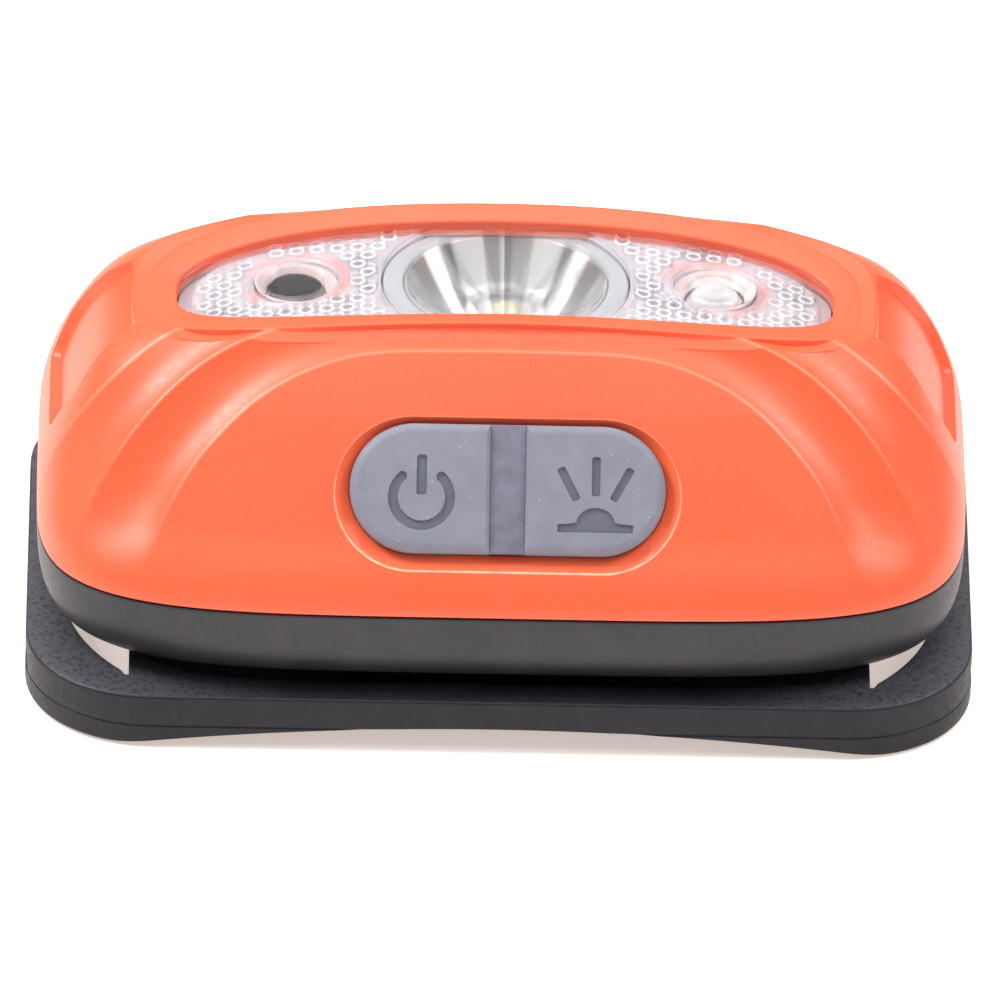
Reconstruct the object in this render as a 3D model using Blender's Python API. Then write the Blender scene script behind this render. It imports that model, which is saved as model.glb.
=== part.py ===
# Rechargeable headlamp: an orange front shell and a black rear cover, tilting on a strap bracket.
# Frame: +X along the width, -Y towards the keypad (the top edge as worn), +Z along the beam.
# The origin is under the middle of the bracket, on the plane its two end feet rest on.
# Dimensions below are in millimetres, and every mesh is written in metres.
import bpy, bmesh, math
import numpy as np
from mathutils import Vector

MM = 0.001

# ---------------------------------------------------------------- driving dimensions
GAP = 0.30                    # clearance between pieces that touch
SEAM_A, SEAM_B = 30.45, 19.6  # half length and half width of the body at the seam
SEAM_Z = 9.85                 # lower edge of the orange shell
LIP_A, LIP_B = 23.3, 8.25     # outer edge of the lip around the window
WIN_A, WIN_B = 21.5, 6.25     # window opening
LIP_Z = 25.4                  # height of the lip's outer edge at mid-length
LIP_FALL = 0.37               # the lip falls this much inwards to the window
DOME_2, DOME_4 = 0.0040, 2.0e-6   # the front face falls by DOME_2 * x^2 + DOME_4 * x^4
N_BODY, N_TOP = 4.5, 3.9      # superellipse exponents of the body at the seam and at the shoulder
N_LIP, N_WIN = 3.5, 2.9       # and of the lip and the window
BR_A, BR_B = 31.0, 20.2       # half length and half width of the bracket
BR_T = 3.7                    # height of the bracket's rim
ARCH = 1.7                    # rise of the bracket's underside at mid-length
FOOT_X = 26.0                 # the feet are flat from here outwards
SLOT_IN, SLOT_OUT = 24.2, 28.8   # strap slot
COVER_Z = 4.3                 # underside of the rear cover
HINGE_Y, HINGE_Z = 17.3, 5.3  # hinge pin axis
PIN_R = 0.8
KEY_Y, KEY_Z = -14.53, 16.36  # middle of the keypad on the flat front of the key facet
KEY_W, KEY_H = 20.6, 8.5
KEY_PROUD = 1.35
KEY_TRAVEL = 0.6
SENSOR_X, SENSOR_Y = 13.7, 0.6
SCREW_X, SCREW_Y = 22.5, 10.3
PORT_Y, PORT_Z = 16.2, 14.2   # charging port on the far facet
FLAP_W, FLAP_H = 11.0, 5.0

NU = 72                       # points around the body outlines

for o in list(bpy.data.objects):
    bpy.data.objects.remove(o, do_unlink=True)

# ---------------------------------------------------------------- materials
def material(name, rgb, rough, metal=0.0, transmission=0.0, emission=None):
    m = bpy.data.materials.new(name)
    m.use_nodes = True
    b = m.node_tree.nodes["Principled BSDF"]
    b.inputs["Base Color"].default_value = (*rgb, 1.0)
    b.inputs["Roughness"].default_value = rough
    b.inputs["Metallic"].default_value = metal
    b.inputs["Transmission Weight"].default_value = transmission
    if emission:
        b.inputs["Emission Color"].default_value = (*emission, 1.0)
        b.inputs["Emission Strength"].default_value = 0.3
    m.diffuse_color = (*rgb, 1.0)
    return m

# ---------------------------------------------------------------- mesh helpers
def mesh_object(name, verts, faces, mat, origin=(0, 0, 0), parent=None, smooth=35.0):
    """An object from points in millimetres, with its origin at a world point in millimetres."""
    at = np.array(origin, float)
    v = (np.asarray(verts, float) - at) * MM
    me = bpy.data.meshes.new(name)
    me.from_pydata([tuple(p) for p in v], [], [tuple(int(i) for i in f) for f in faces])
    bm = bmesh.new()
    bm.from_mesh(me)
    bmesh.ops.remove_doubles(bm, verts=bm.verts, dist=1e-7)
    bmesh.ops.recalc_face_normals(bm, faces=bm.faces)
    bm.to_mesh(me)
    bm.free()
    if mat:
        me.materials.append(mat)
    me.shade_smooth()
    me.set_sharp_from_angle(angle=math.radians(smooth))
    ob = bpy.data.objects.new(name, me)
    bpy.context.scene.collection.objects.link(ob)
    if parent:
        ob.parent = parent
        ob.location = Vector(at * MM) - parent.location
    else:
        ob.location = Vector(at * MM)
    return ob

def loft(rings, closed=False):
    """Points and faces through rings of equal length. Open lofts get a flat cap at each end."""
    k, n = len(rings), len(rings[0])
    verts = np.concatenate([np.asarray(r, float) for r in rings])
    faces = []
    for i in range(k if closed else k - 1):
        a, b = i * n, ((i + 1) % k) * n
        for j in range(n):
            faces.append((a + j, a + (j + 1) % n, b + (j + 1) % n, b + j))
    if not closed:
        faces.append(tuple(range(n - 1, -1, -1)))
        faces.append(tuple((k - 1) * n + j for j in range(n)))
    return verts, faces

def tau_samples(n_pts, a, b, n):
    """Direction angles that space a superellipse's points evenly along its length."""
    t = np.linspace(0, 2 * np.pi, 4001)
    r = (np.abs(np.cos(t)) ** n + np.abs(np.sin(t)) ** n) ** (-1 / n)
    x, y = a * r * np.cos(t), b * r * np.sin(t)
    s = np.concatenate([[0], np.cumsum(np.hypot(np.diff(x), np.diff(y)))])
    return np.interp(np.arange(n_pts) / n_pts * s[-1], s, t)

def outline(tau, a, b, n):
    r = (np.abs(np.cos(tau)) ** n + np.abs(np.sin(tau)) ** n) ** (-1 / n)
    return a * r * np.cos(tau), b * r * np.sin(tau)

def side_weight(tau, n):
    """1 at the ends of the body, 0 at its long sides."""
    r = (np.abs(np.cos(tau)) ** n + np.abs(np.sin(tau)) ** n) ** (-1 / n)
    cx, cy = np.abs(r * np.cos(tau)) ** 3, np.abs(r * np.sin(tau)) ** 3
    return cx / (cx + cy)

def ring(tau, a, b, n, z_end, z_side):
    x, y = outline(tau, a, b, n)
    w = side_weight(tau, n)
    return np.stack([x, y, w * z_end + (1 - w) * z_side], 1)

def flat_ring(tau, a, b, n, z):
    x, y = outline(tau, a, b, n)
    return np.stack([x, y, np.full_like(x, z)], 1)

def fall(x):
    """How far the front face lies below its middle at x."""
    return DOME_2 * x ** 2 + DOME_4 * x ** 4

def domed_ring(tau, a, b, n, z):
    x, y = outline(tau, a, b, n)
    return np.stack([x, y, z - fall(x)], 1)

def box(x0, x1, y0, y1, z0, z1):
    v = [(x, y, z) for z in (z0, z1) for x, y in ((x0, y0), (x1, y0), (x1, y1), (x0, y1))]
    f = [(3, 2, 1, 0), (4, 5, 6, 7), (0, 1, 5, 4), (1, 2, 6, 5), (2, 3, 7, 6), (3, 0, 4, 7)]
    return np.array(v, float), f

def bevelled_box(x0, x1, y0, y1, z0, z1, r):
    """A box with its four vertical edges and both rims chamfered."""
    def rect(i, z):
        a0, a1, b0, b1 = x0 + i, x1 - i, y0 + i, y1 - i
        return [(a0 + r, b0, z), (a1 - r, b0, z), (a1, b0 + r, z), (a1, b1 - r, z),
                (a1 - r, b1, z), (a0 + r, b1, z), (a0, b1 - r, z), (a0, b0 + r, z)]
    return loft([rect(r * 0.6, z0), rect(0, z0 + r * 0.6), rect(0, z1 - r * 0.6), rect(r * 0.6, z1)])

def turned(profile, centre, segments=24, axis="Z"):
    """A solid of revolution from (radius, height) pairs. Zero radii close it with a point."""
    verts, faces, rows = [], [], []
    for r, h in profile:
        if r < 1e-6:
            rows.append([len(verts)])
            verts.append((0, 0, h))
        else:
            rows.append(list(range(len(verts), len(verts) + segments)))
            verts += [(r * math.cos(2 * math.pi * k / segments), r * math.sin(2 * math.pi * k / segments), h)
                      for k in range(segments)]
    closed = profile[0][0] > 1e-6 and profile[-1][0] > 1e-6
    pairs = list(zip(rows, rows[1:])) + ([(rows[-1], rows[0])] if closed else [])
    for a, b in pairs:
        if len(a) == 1 and len(b) == 1:
            continue
        for k in range(segments):
            k2 = (k + 1) % segments
            if len(a) == 1:
                faces.append((a[0], b[k2], b[k]))
            elif len(b) == 1:
                faces.append((a[k], a[k2], b[0]))
            else:
                faces.append((a[k], a[k2], b[k2], b[k]))
    v = np.array(verts, float)
    if axis == "X":
        v = v[:, [2, 0, 1]]
    return v + np.array(centre, float), faces

def boolean(ob, cutter, op="DIFFERENCE"):
    m = ob.modifiers.new(op.lower(), "BOOLEAN")
    m.operation = op
    m.solver = "EXACT"
    m.object = cutter
    cutter.hide_render = True
    cutter.display_type = "WIRE"

def cutter(name, part, parent=None):
    return mesh_object("cut_" + name, part[0], part[1], None, parent=parent)

# The key facet's own frame: across, up the slope, and out of the slope.
RISE, RUN = LIP_Z - SEAM_Z, SEAM_B - LIP_B
SLOPE = math.hypot(RISE, RUN)
UP = np.array([0.0, RUN / SLOPE, RISE / SLOPE])
OUT = np.array([0.0, -RISE / SLOPE, RUN / SLOPE])
ACROSS = np.array([1.0, 0.0, 0.0])
KEY_C = np.array([0.25, KEY_Y, KEY_Z])   # the keypad sits a little towards the sensor key

def on_facet(points, far=False):
    """(across, up, out) points on the key facet, or on the far facet, as world points."""
    p = np.asarray(points, float)
    w = KEY_C + p[:, :1] * ACROSS + p[:, 1:2] * UP + p[:, 2:3] * OUT
    if far:
        w = w * np.array([1, -1, 1])
    return w

def stadium(w, h, arc=8):
    """A stadium outline, anticlockwise, as 2-D points."""
    r, c = h / 2, w / 2 - h / 2
    pts = [(c + r * math.cos(a), r * math.sin(a)) for a in np.linspace(-math.pi / 2, math.pi / 2, arc + 1)]
    pts += [(-c - r * math.cos(a), -r * math.sin(a)) for a in np.linspace(-math.pi / 2, math.pi / 2, arc + 1)]
    return np.array(pts)

def slab(outline2d, levels, origin2d=(0, 0)):
    """Rings of a 2-D outline at (out, inset) levels, shrunk towards the outline's own middle."""
    c = outline2d.mean(0)
    half = np.abs(outline2d - c).max(0)
    rings = []
    for h, inset in levels:
        s = (half - inset) / half
        p = (outline2d - c) * s + c + np.array(origin2d)
        rings.append(np.concatenate([p, np.full((len(p), 1), h)], 1))
    return rings

# ---------------------------------------------------------------- bodies' axes
def empty(name, at):
    e = bpy.data.objects.new(name, None)
    bpy.context.scene.collection.objects.link(e)
    e.location = Vector(np.array(at) * MM)
    return e

tilt = empty("housing_tilt_axis", (0, HINGE_Y, HINGE_Z))
bpy.context.view_layer.update()

ORANGE = material("shell_orange", (0.93, 0.17, 0.06), 0.42)
BLACK = material("cover_black", (0.022, 0.023, 0.026), 0.5)
BRACKET = material("bracket_black", (0.018, 0.019, 0.028), 0.55)
SILICONE = material("key_silicone", (0.22, 0.24, 0.28), 0.6)
CLEAR = material("clear_lens", (0.97, 0.97, 0.98), 0.03, transmission=1.0)
TEXTURED = material("textured_lens", (0.93, 0.93, 0.95), 0.08, transmission=0.6)
SILVER = material("reflector_silver", (0.86, 0.87, 0.88), 0.08, metal=1.0)
GREY = material("frame_grey", (0.62, 0.63, 0.64), 0.45)
PCB = material("board_green", (0.02, 0.16, 0.08), 0.45)
STEEL = material("steel", (0.62, 0.62, 0.64), 0.3, metal=1.0)
DOME_BLACK = material("sensor_black", (0.01, 0.01, 0.012), 0.08)
LED = material("led_phosphor", (0.9, 0.75, 0.2), 0.35)
FOIL = material("battery_foil", (0.55, 0.57, 0.60), 0.35, metal=0.8)
RED = material("lead_red", (0.5, 0.02, 0.02), 0.5)
DARK = material("lead_black", (0.02, 0.02, 0.02), 0.5)
RUBBER = material("gasket_rubber", (0.03, 0.03, 0.032), 0.7)
SWITCH = material("switch_black", (0.03, 0.03, 0.03), 0.45)

tau = tau_samples(NU, SEAM_A, SEAM_B, N_BODY)

# ---------------------------------------------------------------- front shell
# Levels from the seam up to the lip: half length, end height, fraction of the key facet, bulge.
END = [(30.45, SEAM_Z, 0.0), (30.38, 12.2, 0.18), (29.95, 14.3, 0.33), (29.15, 16.6, 0.48),
       (28.1, 18.8, 0.61), (26.8, 20.8, 0.735), (25.35, 22.05, 0.86), (24.2, 22.65, 0.94)]
BULGE = 0.6
outer = []
for a, z, f in END:
    bulge = BULGE * 4 * f * (1 - f)
    outer.append(ring(tau, a, SEAM_B - RUN * f - OUT[1] * bulge, N_BODY + (N_TOP - N_BODY) * f, z, SEAM_Z + RISE * f + OUT[2] * bulge))
lip = [domed_ring(tau, LIP_A, LIP_B, N_LIP, LIP_Z - 0.15), domed_ring(tau, LIP_A - 0.4, LIP_B - 0.35, N_LIP, LIP_Z),
       domed_ring(tau, WIN_A + 0.25, WIN_B + 0.2, N_WIN, LIP_Z - LIP_FALL + 0.05), domed_ring(tau, WIN_A, WIN_B, N_WIN, LIP_Z - LIP_FALL - 0.2),
       domed_ring(tau, WIN_A, WIN_B, N_WIN, LIP_Z - 1.1)]
inner = []
for a, z, f in [(22.9, 21.2, 0.0), (24.6, 20.4, 0.10), (26.0, 19.0, 0.24), (27.0, 17.2, 0.40), (27.9, 15.1, 0.58), (28.6, 13.1, 0.76), (28.85, SEAM_Z, 1.0)]:
    inner.append(ring(tau, a, 7.8 + (17.7 - 7.8) * f, N_TOP + (N_BODY - N_TOP) * f, z, 23.95 + (SEAM_Z - 23.95) * f))
shell = mesh_object("front_shell", *loft(outer + lip + inner, closed=True), ORANGE, parent=tilt)

# key opening: a sloped funnel around the keys, then a straight hole through the wall
funnel = slab(stadium(KEY_W + 1.6, KEY_H + 1.6), [(-4.0, 0.4), (-0.15, 0.4), (0.62, 0.0), (3.0, 0.0)])
v, f = loft(funnel)
boolean(shell, cutter("key_hole", (on_facet(v), f)))

# charging port: a pocket for the flap in the far facet and a slot through it to the socket
port_up = (PORT_Z - KEY_Z) / UP[2]
pocket = slab(stadium(FLAP_W + 0.8, FLAP_H + 0.8, 6) + np.array([0, port_up]), [(-0.75, 0), (3.0, 0)])
v, f = loft(pocket)
boolean(shell, cutter("port_pocket", (on_facet(v, far=True), f)))
boolean(shell, cutter("port_slot", bevelled_box(-4.9, 4.9, 10.0, 18.0, PORT_Z - 1.95, PORT_Z + 1.75, 0.6)))

# grip pocket at each end: a shallow bowed trapezium cut into the shoulder, square to it
for s, side in ((1, "right"), (-1, "left")):
    nrm = np.array([0.78 * s, 0.0, 0.62])
    nrm /= np.linalg.norm(nrm)
    along = np.array([-nrm[2] * s, 0.0, nrm[0] * s])
    mid = np.array([27.45 * s, 0.0, 19.75])
    rings = []
    for h, grow in ((-0.55, 0.0), (2.5, 0.9)):
        pts = []
        for u, w in ((3.9, 4.2), (0.6, 5.6), (-3.6, 4.6)):
            pts.append((u, -w - grow * 0.6))
        pts2 = pts + [(u, -w) for u, w in reversed(pts)]
        rings.append([mid + nrm * h + along * u + np.array([0, w, 0]) for u, w in pts2])
    boolean(shell, cutter("grip_" + side, loft(rings)))

# screw bosses
for i, (sx, sy) in enumerate(((-1, -1), (1, -1), (1, 1), (-1, 1)), 1):
    x, y = sx * SCREW_X, sy * SCREW_Y
    boss = turned([(0, 9.0), (2.2, 9.0), (2.2, 17.2), (0, 17.2)], (x, y, 0), 14)
    boolean(shell, cutter("boss_%d" % i, boss), "UNION")
    boolean(shell, cutter("boss_hole_%d" % i, turned([(0, 8.0), (1.15, 8.0), (1.15, 15.0), (0, 15.4)], (x, y, 0), 10)))

# ---------------------------------------------------------------- lens, inserts, optics
def domed_plate(a, b, n, z0, z1):
    """A plate that follows the front face's curve, as strips between the two long sides."""
    xs = a * np.sin(np.linspace(-math.pi / 2, math.pi / 2, 33))
    xs = xs[1:-1]
    half = b * (1 - np.abs(xs / a) ** n) ** (1 / n)
    rings = []
    for x, h in zip(xs, half):
        rings.append([(x, -h, z0 - fall(x)), (x, h, z0 - fall(x)), (x, h, z1 - fall(x)), (x, -h, z1 - fall(x))])
    return loft(rings)
cover = mesh_object("lens_cover", *domed_plate(WIN_A - GAP, WIN_B - GAP, N_WIN, 24.45, 24.92), CLEAR, parent=tilt)

RING_R = 8.1
for s, side in ((-1, "left"), (1, "right")):
    plate = mesh_object(side + "_insert", *domed_plate(WIN_A - GAP, WIN_B - GAP, N_WIN, 23.2, 24.15), TEXTURED, parent=tilt)
    boolean(plate, cutter(side + "_insert_ring", turned([(0, 18), (RING_R + GAP, 18), (RING_R + GAP, 28), (0, 28)], (0, 0, 0), 48)))
    boolean(plate, cutter(side + "_insert_far_half", box(*sorted((0, -s * 30)), -12, 12, 15, 30)))
    boolean(plate, cutter(side + "_insert_hole", turned([(0, 18), (2.7, 18), (2.7, 28), (0, 28)], (s * SENSOR_X, SENSOR_Y, 0), 24)))

cup = [(2.25, 18.9)]
for k in range(1, 9):
    u = k / 8
    cup.append((2.25 + (6.4 - 2.25) * u ** 0.62, 18.9 + (23.65 - 18.9) * u))
prof = cup + [(6.55, 23.85), (RING_R, 23.85), (RING_R, 23.15), (7.0, 23.15)]
for k in range(7, 0, -1):
    u = k / 8
    prof.append((2.25 + (6.4 - 2.25) * u ** 0.62 + 0.75, 18.9 + (23.65 - 18.9) * u - 0.25))
prof += [(3.0, 18.9)]
reflector = mesh_object("reflector", *turned(prof, (0, 0, 0), 40), SILVER, parent=tilt)
for s in (-1, 1):
    boolean(reflector, cutter("reflector_flat_%d" % (s + 1), box(-12, 12, min(s * 6.95, s * 12), max(s * 6.95, s * 12), 17, 26)))

frame = mesh_object("reflector_frame", *loft([flat_ring(tau, 20.6, 6.9, 4.5, 19.4), flat_ring(tau, 20.9, 7.1, 4.5, 19.6), flat_ring(tau, 20.9, 7.1, 4.5, 20.1)]), GREY, parent=tilt)
boolean(frame, cutter("frame_collar", turned([(0, 19.6), (7.95, 19.8), (7.95, 22.65), (0, 22.65)], (0, 0, 0), 40)), "UNION")
boolean(frame, cutter("frame_bore", turned([(0, 18), (7.15, 18), (7.15, 26), (0, 26)], (0, 0, 0), 32)))
for s in (-1, 1):
    boolean(frame, cutter("frame_hole_%d" % (s + 1), turned([(0, 18), (2.3, 18), (2.3, 26), (0, 26)], (s * SENSOR_X, SENSOR_Y, 0), 20)))
    boolean(frame, cutter("frame_post_%d" % (s + 1), turned([(0, 16.9), (1.5, 16.9), (1.5, 19.8), (0, 19.8)], (s * 17.9, 4.4, 0), 14)), "UNION")
    boolean(frame, cutter("frame_post_hole_%d" % (s + 1), turned([(0, 16.0), (0.85, 16.0), (0.85, 19.0), (0, 19.2)], (s * 17.9, 4.4, 0), 10)))

main_pcb = mesh_object("main_pcb", *bevelled_box(-19.8, 19.8, -5.3, 9.2, 15.6, 16.6, 0.5), PCB, parent=tilt)
for s, side in ((-1, "left"), (1, "right")):
    boolean(main_pcb, cutter("pcb_hole_" + side, turned([(0, 15), (1.1, 15), (1.1, 17.5), (0, 17.5)], (s * 17.9, 4.4, 0), 12)))
    screw = mesh_object("pcb_screw_" + side, *turned([(0, 14.3), (0.9, 14.3), (1.35, 14.55), (1.35, 15.3), (0.55, 15.3), (0.55, 18.3), (0, 18.7)], (s * 17.9, 4.4, 0), 12), STEEL, parent=tilt)

mesh_object("led_board", *turned([(0, 16.9), (4.6, 16.9), (4.6, 17.7), (0, 17.7)], (0, 0, 0), 24), GREY, parent=tilt)
mesh_object("main_led", *turned([(0, 18.0), (1.7, 18.0), (1.7, 18.75), (1.45, 18.9), (1.25, 19.35), (0.75, 19.75), (0, 19.9)], (0, 0, 0), 16), LED, parent=tilt)
dome = [(1.75 * math.cos(a), 22.7 + 0.72 * math.sin(a)) for a in np.linspace(0, math.pi / 2, 6)]
dome[-1] = (0, dome[-1][1])
mesh_object("motion_sensor", *turned([(0, 16.9), (1.75, 16.9)] + dome, (-SENSOR_X, SENSOR_Y, 0), 20), DOME_BLACK, parent=tilt)
led = [(1.6 * math.cos(a), 22.55 + 0.85 * math.sin(a)) for a in np.linspace(0, math.pi / 2, 5)]
led[-1] = (0, led[-1][1])
mesh_object("side_led", *turned([(0, 16.9), (1.9, 16.9), (1.9, 22.35), (1.6, 22.45)] + led, (SENSOR_X, SENSOR_Y, 0), 18), LED, parent=tilt)

# ---------------------------------------------------------------- keypad
def placed(name, rings, mat, origin=(0, 0, 0), parent=tilt, **kw):
    v, f = loft(rings)
    return mesh_object(name, on_facet(v), f, mat, origin=origin, parent=parent, **kw)

WEB_TOP = -1.75
web = placed("keypad_web", slab(stadium(25.4, 11.6), [(WEB_TOP - 0.9, 0), (WEB_TOP, 0)]), SILICONE)
bridge = slab(np.array([(-0.8, -4.1), (0.8, -4.1), (0.8, 4.1), (-0.8, 4.1)]), [(WEB_TOP - 0.5, 0), (0.35, 0.0), (0.5, 0.12)])
v, f = loft(bridge)
boolean(web, cutter("web_bridge", (on_facet(v), f)), "UNION")

def key_outline(w, h, cut, arc=9):
    """Left half of a stadium with its right end cut square at -cut."""
    r, c = h / 2, w / 2 - h / 2
    pts = [(-cut - 0.35, -r), (-cut, -r + 0.35), (-cut, r - 0.35), (-cut - 0.35, r)]
    pts += [(-c - r * math.sin(a), r * math.cos(a)) for a in np.linspace(0, math.pi, arc + 1)]
    return np.array(pts)

for s, side in ((-1, "power"), (1, "sensor")):
    o = key_outline(KEY_W, KEY_H, 1.15)
    if s > 0:
        o = o[::-1] * np.array([-1, 1])
    hole = slab(o, [(WEB_TOP - 3, -0.3), (WEB_TOP + 0.6, -0.3)])
    v, f = loft(hole)
    boolean(web, cutter(side + "_web_hole", (on_facet(v), f)))
    centre = o.mean(0)
    origin = on_facet([(centre[0], 0, 0)])[0]
    placed(side + "_key", slab(o, [(WEB_TOP - 1.25, 0.0), (KEY_PROUD - 0.45, 0.0), (KEY_PROUD - 0.12, 0.16), (KEY_PROUD, 0.45)]), SILICONE, origin=tuple(origin))
    cx = s * 5.8
    plunger = np.array([(cx + 0.9 * math.cos(a), 0.9 * math.sin(a)) for a in np.linspace(0, 2 * math.pi, 13)[:-1]])
    placed(side + "_plunger", slab(plunger, [(-4.9, 0), (-3.3, 0)]), SWITCH, origin=tuple(on_facet([(cx, 0, -4.1)])[0]))
    sw = placed(side + "_switch", slab(np.array([(-2.2, -2.2), (2.2, -2.2), (2.2, 2.2), (-2.2, 2.2)]) + np.array([cx, 0]), [(-6.1, 0), (-4.15, 0), (-4.05, 0.15)]), STEEL)
    well = np.array([(cx + 1.25 * math.cos(a), 1.25 * math.sin(a)) for a in np.linspace(0, 2 * math.pi, 13)[:-1]])
    v, f = loft(slab(well, [(-5.75, 0), (-3.0, 0)]))
    boolean(sw, cutter(side + "_switch_well", (on_facet(v), f)))
placed("switch_board", slab(np.array([(-10.5, -3.9), (10.5, -3.9), (10.5, 3.7), (-10.5, 3.7)]), [(-7.2, 0), (-6.4, 0)]), PCB)

# ---------------------------------------------------------------- power
mesh_object("battery", *bevelled_box(-17.5, 17.5, -8.2, 11.8, 7.0, 12.0, 0.8), FOIL, parent=tilt)
def lead(name, pts, mat, r=0.45):
    """A short insulated wire on a smooth path through its points."""
    p = np.array(pts, float)
    t = np.linspace(0, 1, len(p))
    fine = np.linspace(0, 1, 15)
    def cubic(col):
        out = []
        for q in fine:
            u = q * (len(col) - 1)
            i = min(int(u), len(col) - 2)
            a0, a1 = col[max(i - 1, 0)], col[i]
            a2, a3 = col[i + 1], col[min(i + 2, len(col) - 1)]
            w = u - i
            out.append(0.5 * (2 * a1 + (a2 - a0) * w + (2 * a0 - 5 * a1 + 4 * a2 - a3) * w * w + (3 * a1 - a0 - 3 * a2 + a3) * w ** 3))
        return out
    path = np.stack([cubic(p[:, k]) for k in range(3)], 1)
    tan = np.gradient(path, axis=0)
    tan /= np.linalg.norm(tan, axis=1, keepdims=True)
    rings = []
    for c, d in zip(path, tan):
        e1 = np.cross(d, [0, 1, 0.01])
        e1 /= np.linalg.norm(e1)
        e2 = np.cross(d, e1)
        rings.append([c + r * (math.cos(k * math.pi / 4) * e1 + math.sin(k * math.pi / 4) * e2) for k in range(8)])
    return mesh_object(name, *loft(rings), mat, parent=tilt)
lead("battery_lead_red", [(18.0, -0.8, 9.5), (19.3, -0.8, 9.6), (20.4, -0.8, 11.2), (19.6, -0.8, 13.4), (19.0, -0.8, 15.1)], RED)
lead("battery_lead_black", [(18.0, 0.8, 9.5), (19.3, 0.8, 9.6), (20.4, 0.8, 11.2), (19.6, 0.8, 13.4), (19.0, 0.8, 15.1)], DARK)

socket = mesh_object("usb_socket", *bevelled_box(-4.5, 4.5, 7.8, 14.6, PORT_Z - 1.65, PORT_Z + 1.05, 0.7), STEEL, parent=tilt)
boolean(socket, cutter("usb_mouth", bevelled_box(-3.9, 3.9, 8.6, 16.0, PORT_Z - 1.2, PORT_Z + 0.6, 0.45)))
boolean(socket, cutter("usb_tongue", box(-3.0, 3.0, 8.0, 13.8, PORT_Z - 0.55, PORT_Z - 0.1)), "UNION")

# charging port flap, turning on a moulded hinge line along its lower edge
flap_axis = on_facet([(0, port_up - FLAP_H / 2 + 0.3, 0.45)], far=True)[0]
def far_slab(levels, o):
    v, f = loft(slab(o, levels))
    return on_facet(v, far=True), f
flap = mesh_object("usb_flap", *far_slab([(-0.4, 0.0), (0.45, 0.0), (0.62, 0.2)], stadium(FLAP_W, FLAP_H, 6) + np.array([0, port_up])), RUBBER, origin=tuple(flap_axis), parent=tilt)
boolean(flap, cutter("flap_tab", far_slab([(-0.1, 0.0), (1.1, 0.0), (1.25, 0.15)], stadium(3.6, 0.9, 3) + np.array([0, port_up + 1.4])), parent=None), "UNION")
boolean(flap, cutter("flap_plug", far_slab([(-1.5, 0.25), (-1.2, 0.0), (0.0, 0.0)], stadium(6.6, 1.5, 4) + np.array([0, port_up - 0.1])), parent=None), "UNION")

# ---------------------------------------------------------------- rear cover
oc = []
for a, b, z in [(30.45, 19.6, SEAM_Z - GAP), (30.42, 19.57, 8.0), (30.15, 19.3, 6.4), (29.5, 18.75, 5.3), (28.6, 18.0, 4.6), (27.5, 17.1, COVER_Z)]:
    oc.append(flat_ring(tau, a, b, N_BODY, z))
ic = []
for a, b, z in [(24.8, 14.0, 5.9), (26.3, 15.6, 6.3), (27.2, 16.4, 7.4), (27.3, 16.5, 8.5), (28.6, 17.7, 8.5), (28.6, 17.7, SEAM_Z - GAP)]:
    ic.append(flat_ring(tau, a, b, N_BODY, z))
# outside from the rim down to the floor, then inside from the floor up to the rim
verts = np.concatenate(oc + ic)
faces = []
def band(i, j):
    for k in range(NU):
        faces.append((i * NU + k, i * NU + (k + 1) % NU, j * NU + (k + 1) % NU, j * NU + k))
for i in range(len(oc) - 1):
    band(i, i + 1)
for i in range(len(oc), len(oc) + len(ic) - 1):
    band(i, i + 1)
band(len(oc) + len(ic) - 1, 0)
faces.append(tuple((len(oc) - 1) * NU + k for k in range(NU)))
faces.append(tuple(len(oc) * NU + k for k in range(NU - 1, -1, -1)))
rear = mesh_object("rear_cover", verts, faces, BLACK, parent=tilt)
EAR_X0, EAR_X1 = 9.5, 12.5
for s in (-1, 1):
    x0, x1 = sorted((s * (EAR_X0 - 0.35), s * (EAR_X1 + 0.35)))
    boolean(rear, cutter("ear_block_%d" % (s + 1), box(x0 - 1.2, x1 + 1.2, HINGE_Y - 3.4, HINGE_Y - 0.5, 5.0, HINGE_Z + 3.3)), "UNION")
    boolean(rear, cutter("ear_room_%d" % (s + 1), box(x0, x1, HINGE_Y - 2.2, 22, 3.6, HINGE_Z + 2.2)))
barrel = turned([(0, -(EAR_X0 - 0.35)), (1.85, -(EAR_X0 - 0.35)), (1.85, EAR_X0 - 0.35), (0, EAR_X0 - 0.35)], (0, HINGE_Y, HINGE_Z), 20, "X")
boolean(rear, cutter("barrel", barrel), "UNION")
boolean(rear, cutter("pin_bore", turned([(0, -14.5), (PIN_R + 0.32, -14.5), (PIN_R + 0.32, 14.5), (0, 14.5)], (0, HINGE_Y, HINGE_Z), 16, "X")))
for i, (sx, sy) in enumerate(((-1, -1), (1, -1), (1, 1), (-1, 1)), 1):
    x, y = sx * SCREW_X, sy * SCREW_Y
    boolean(rear, cutter("cover_boss_%d" % i, turned([(0, 5.1), (2.75, 5.1), (2.75, 8.65), (0, 8.65)], (x, y, 0), 16)), "UNION")
    boolean(rear, cutter("screw_way_%d" % i, turned([(0, 4.0), (2.0, 4.0), (2.0, 6.75), (1.2, 6.75), (1.2, 9.2), (0, 9.2)], (x, y, 0), 16)))
    screw = mesh_object("case_screw_%d" % i, *turned([(0, 5.35), (1.35, 5.35), (1.65, 5.6), (1.65, 6.4), (0.8, 6.4), (0.8, 14.2), (0, 14.8)], (x, y, 0), 14), STEEL, parent=tilt)
    for q, (dx, dy) in enumerate(((0.95, 0.2), (0.2, 0.95))):
        boolean(screw, cutter("cross_%d_%d" % (i, q), box(x - dx, x + dx, y - dy, y + dy, 5.0, 5.9)))

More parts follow.
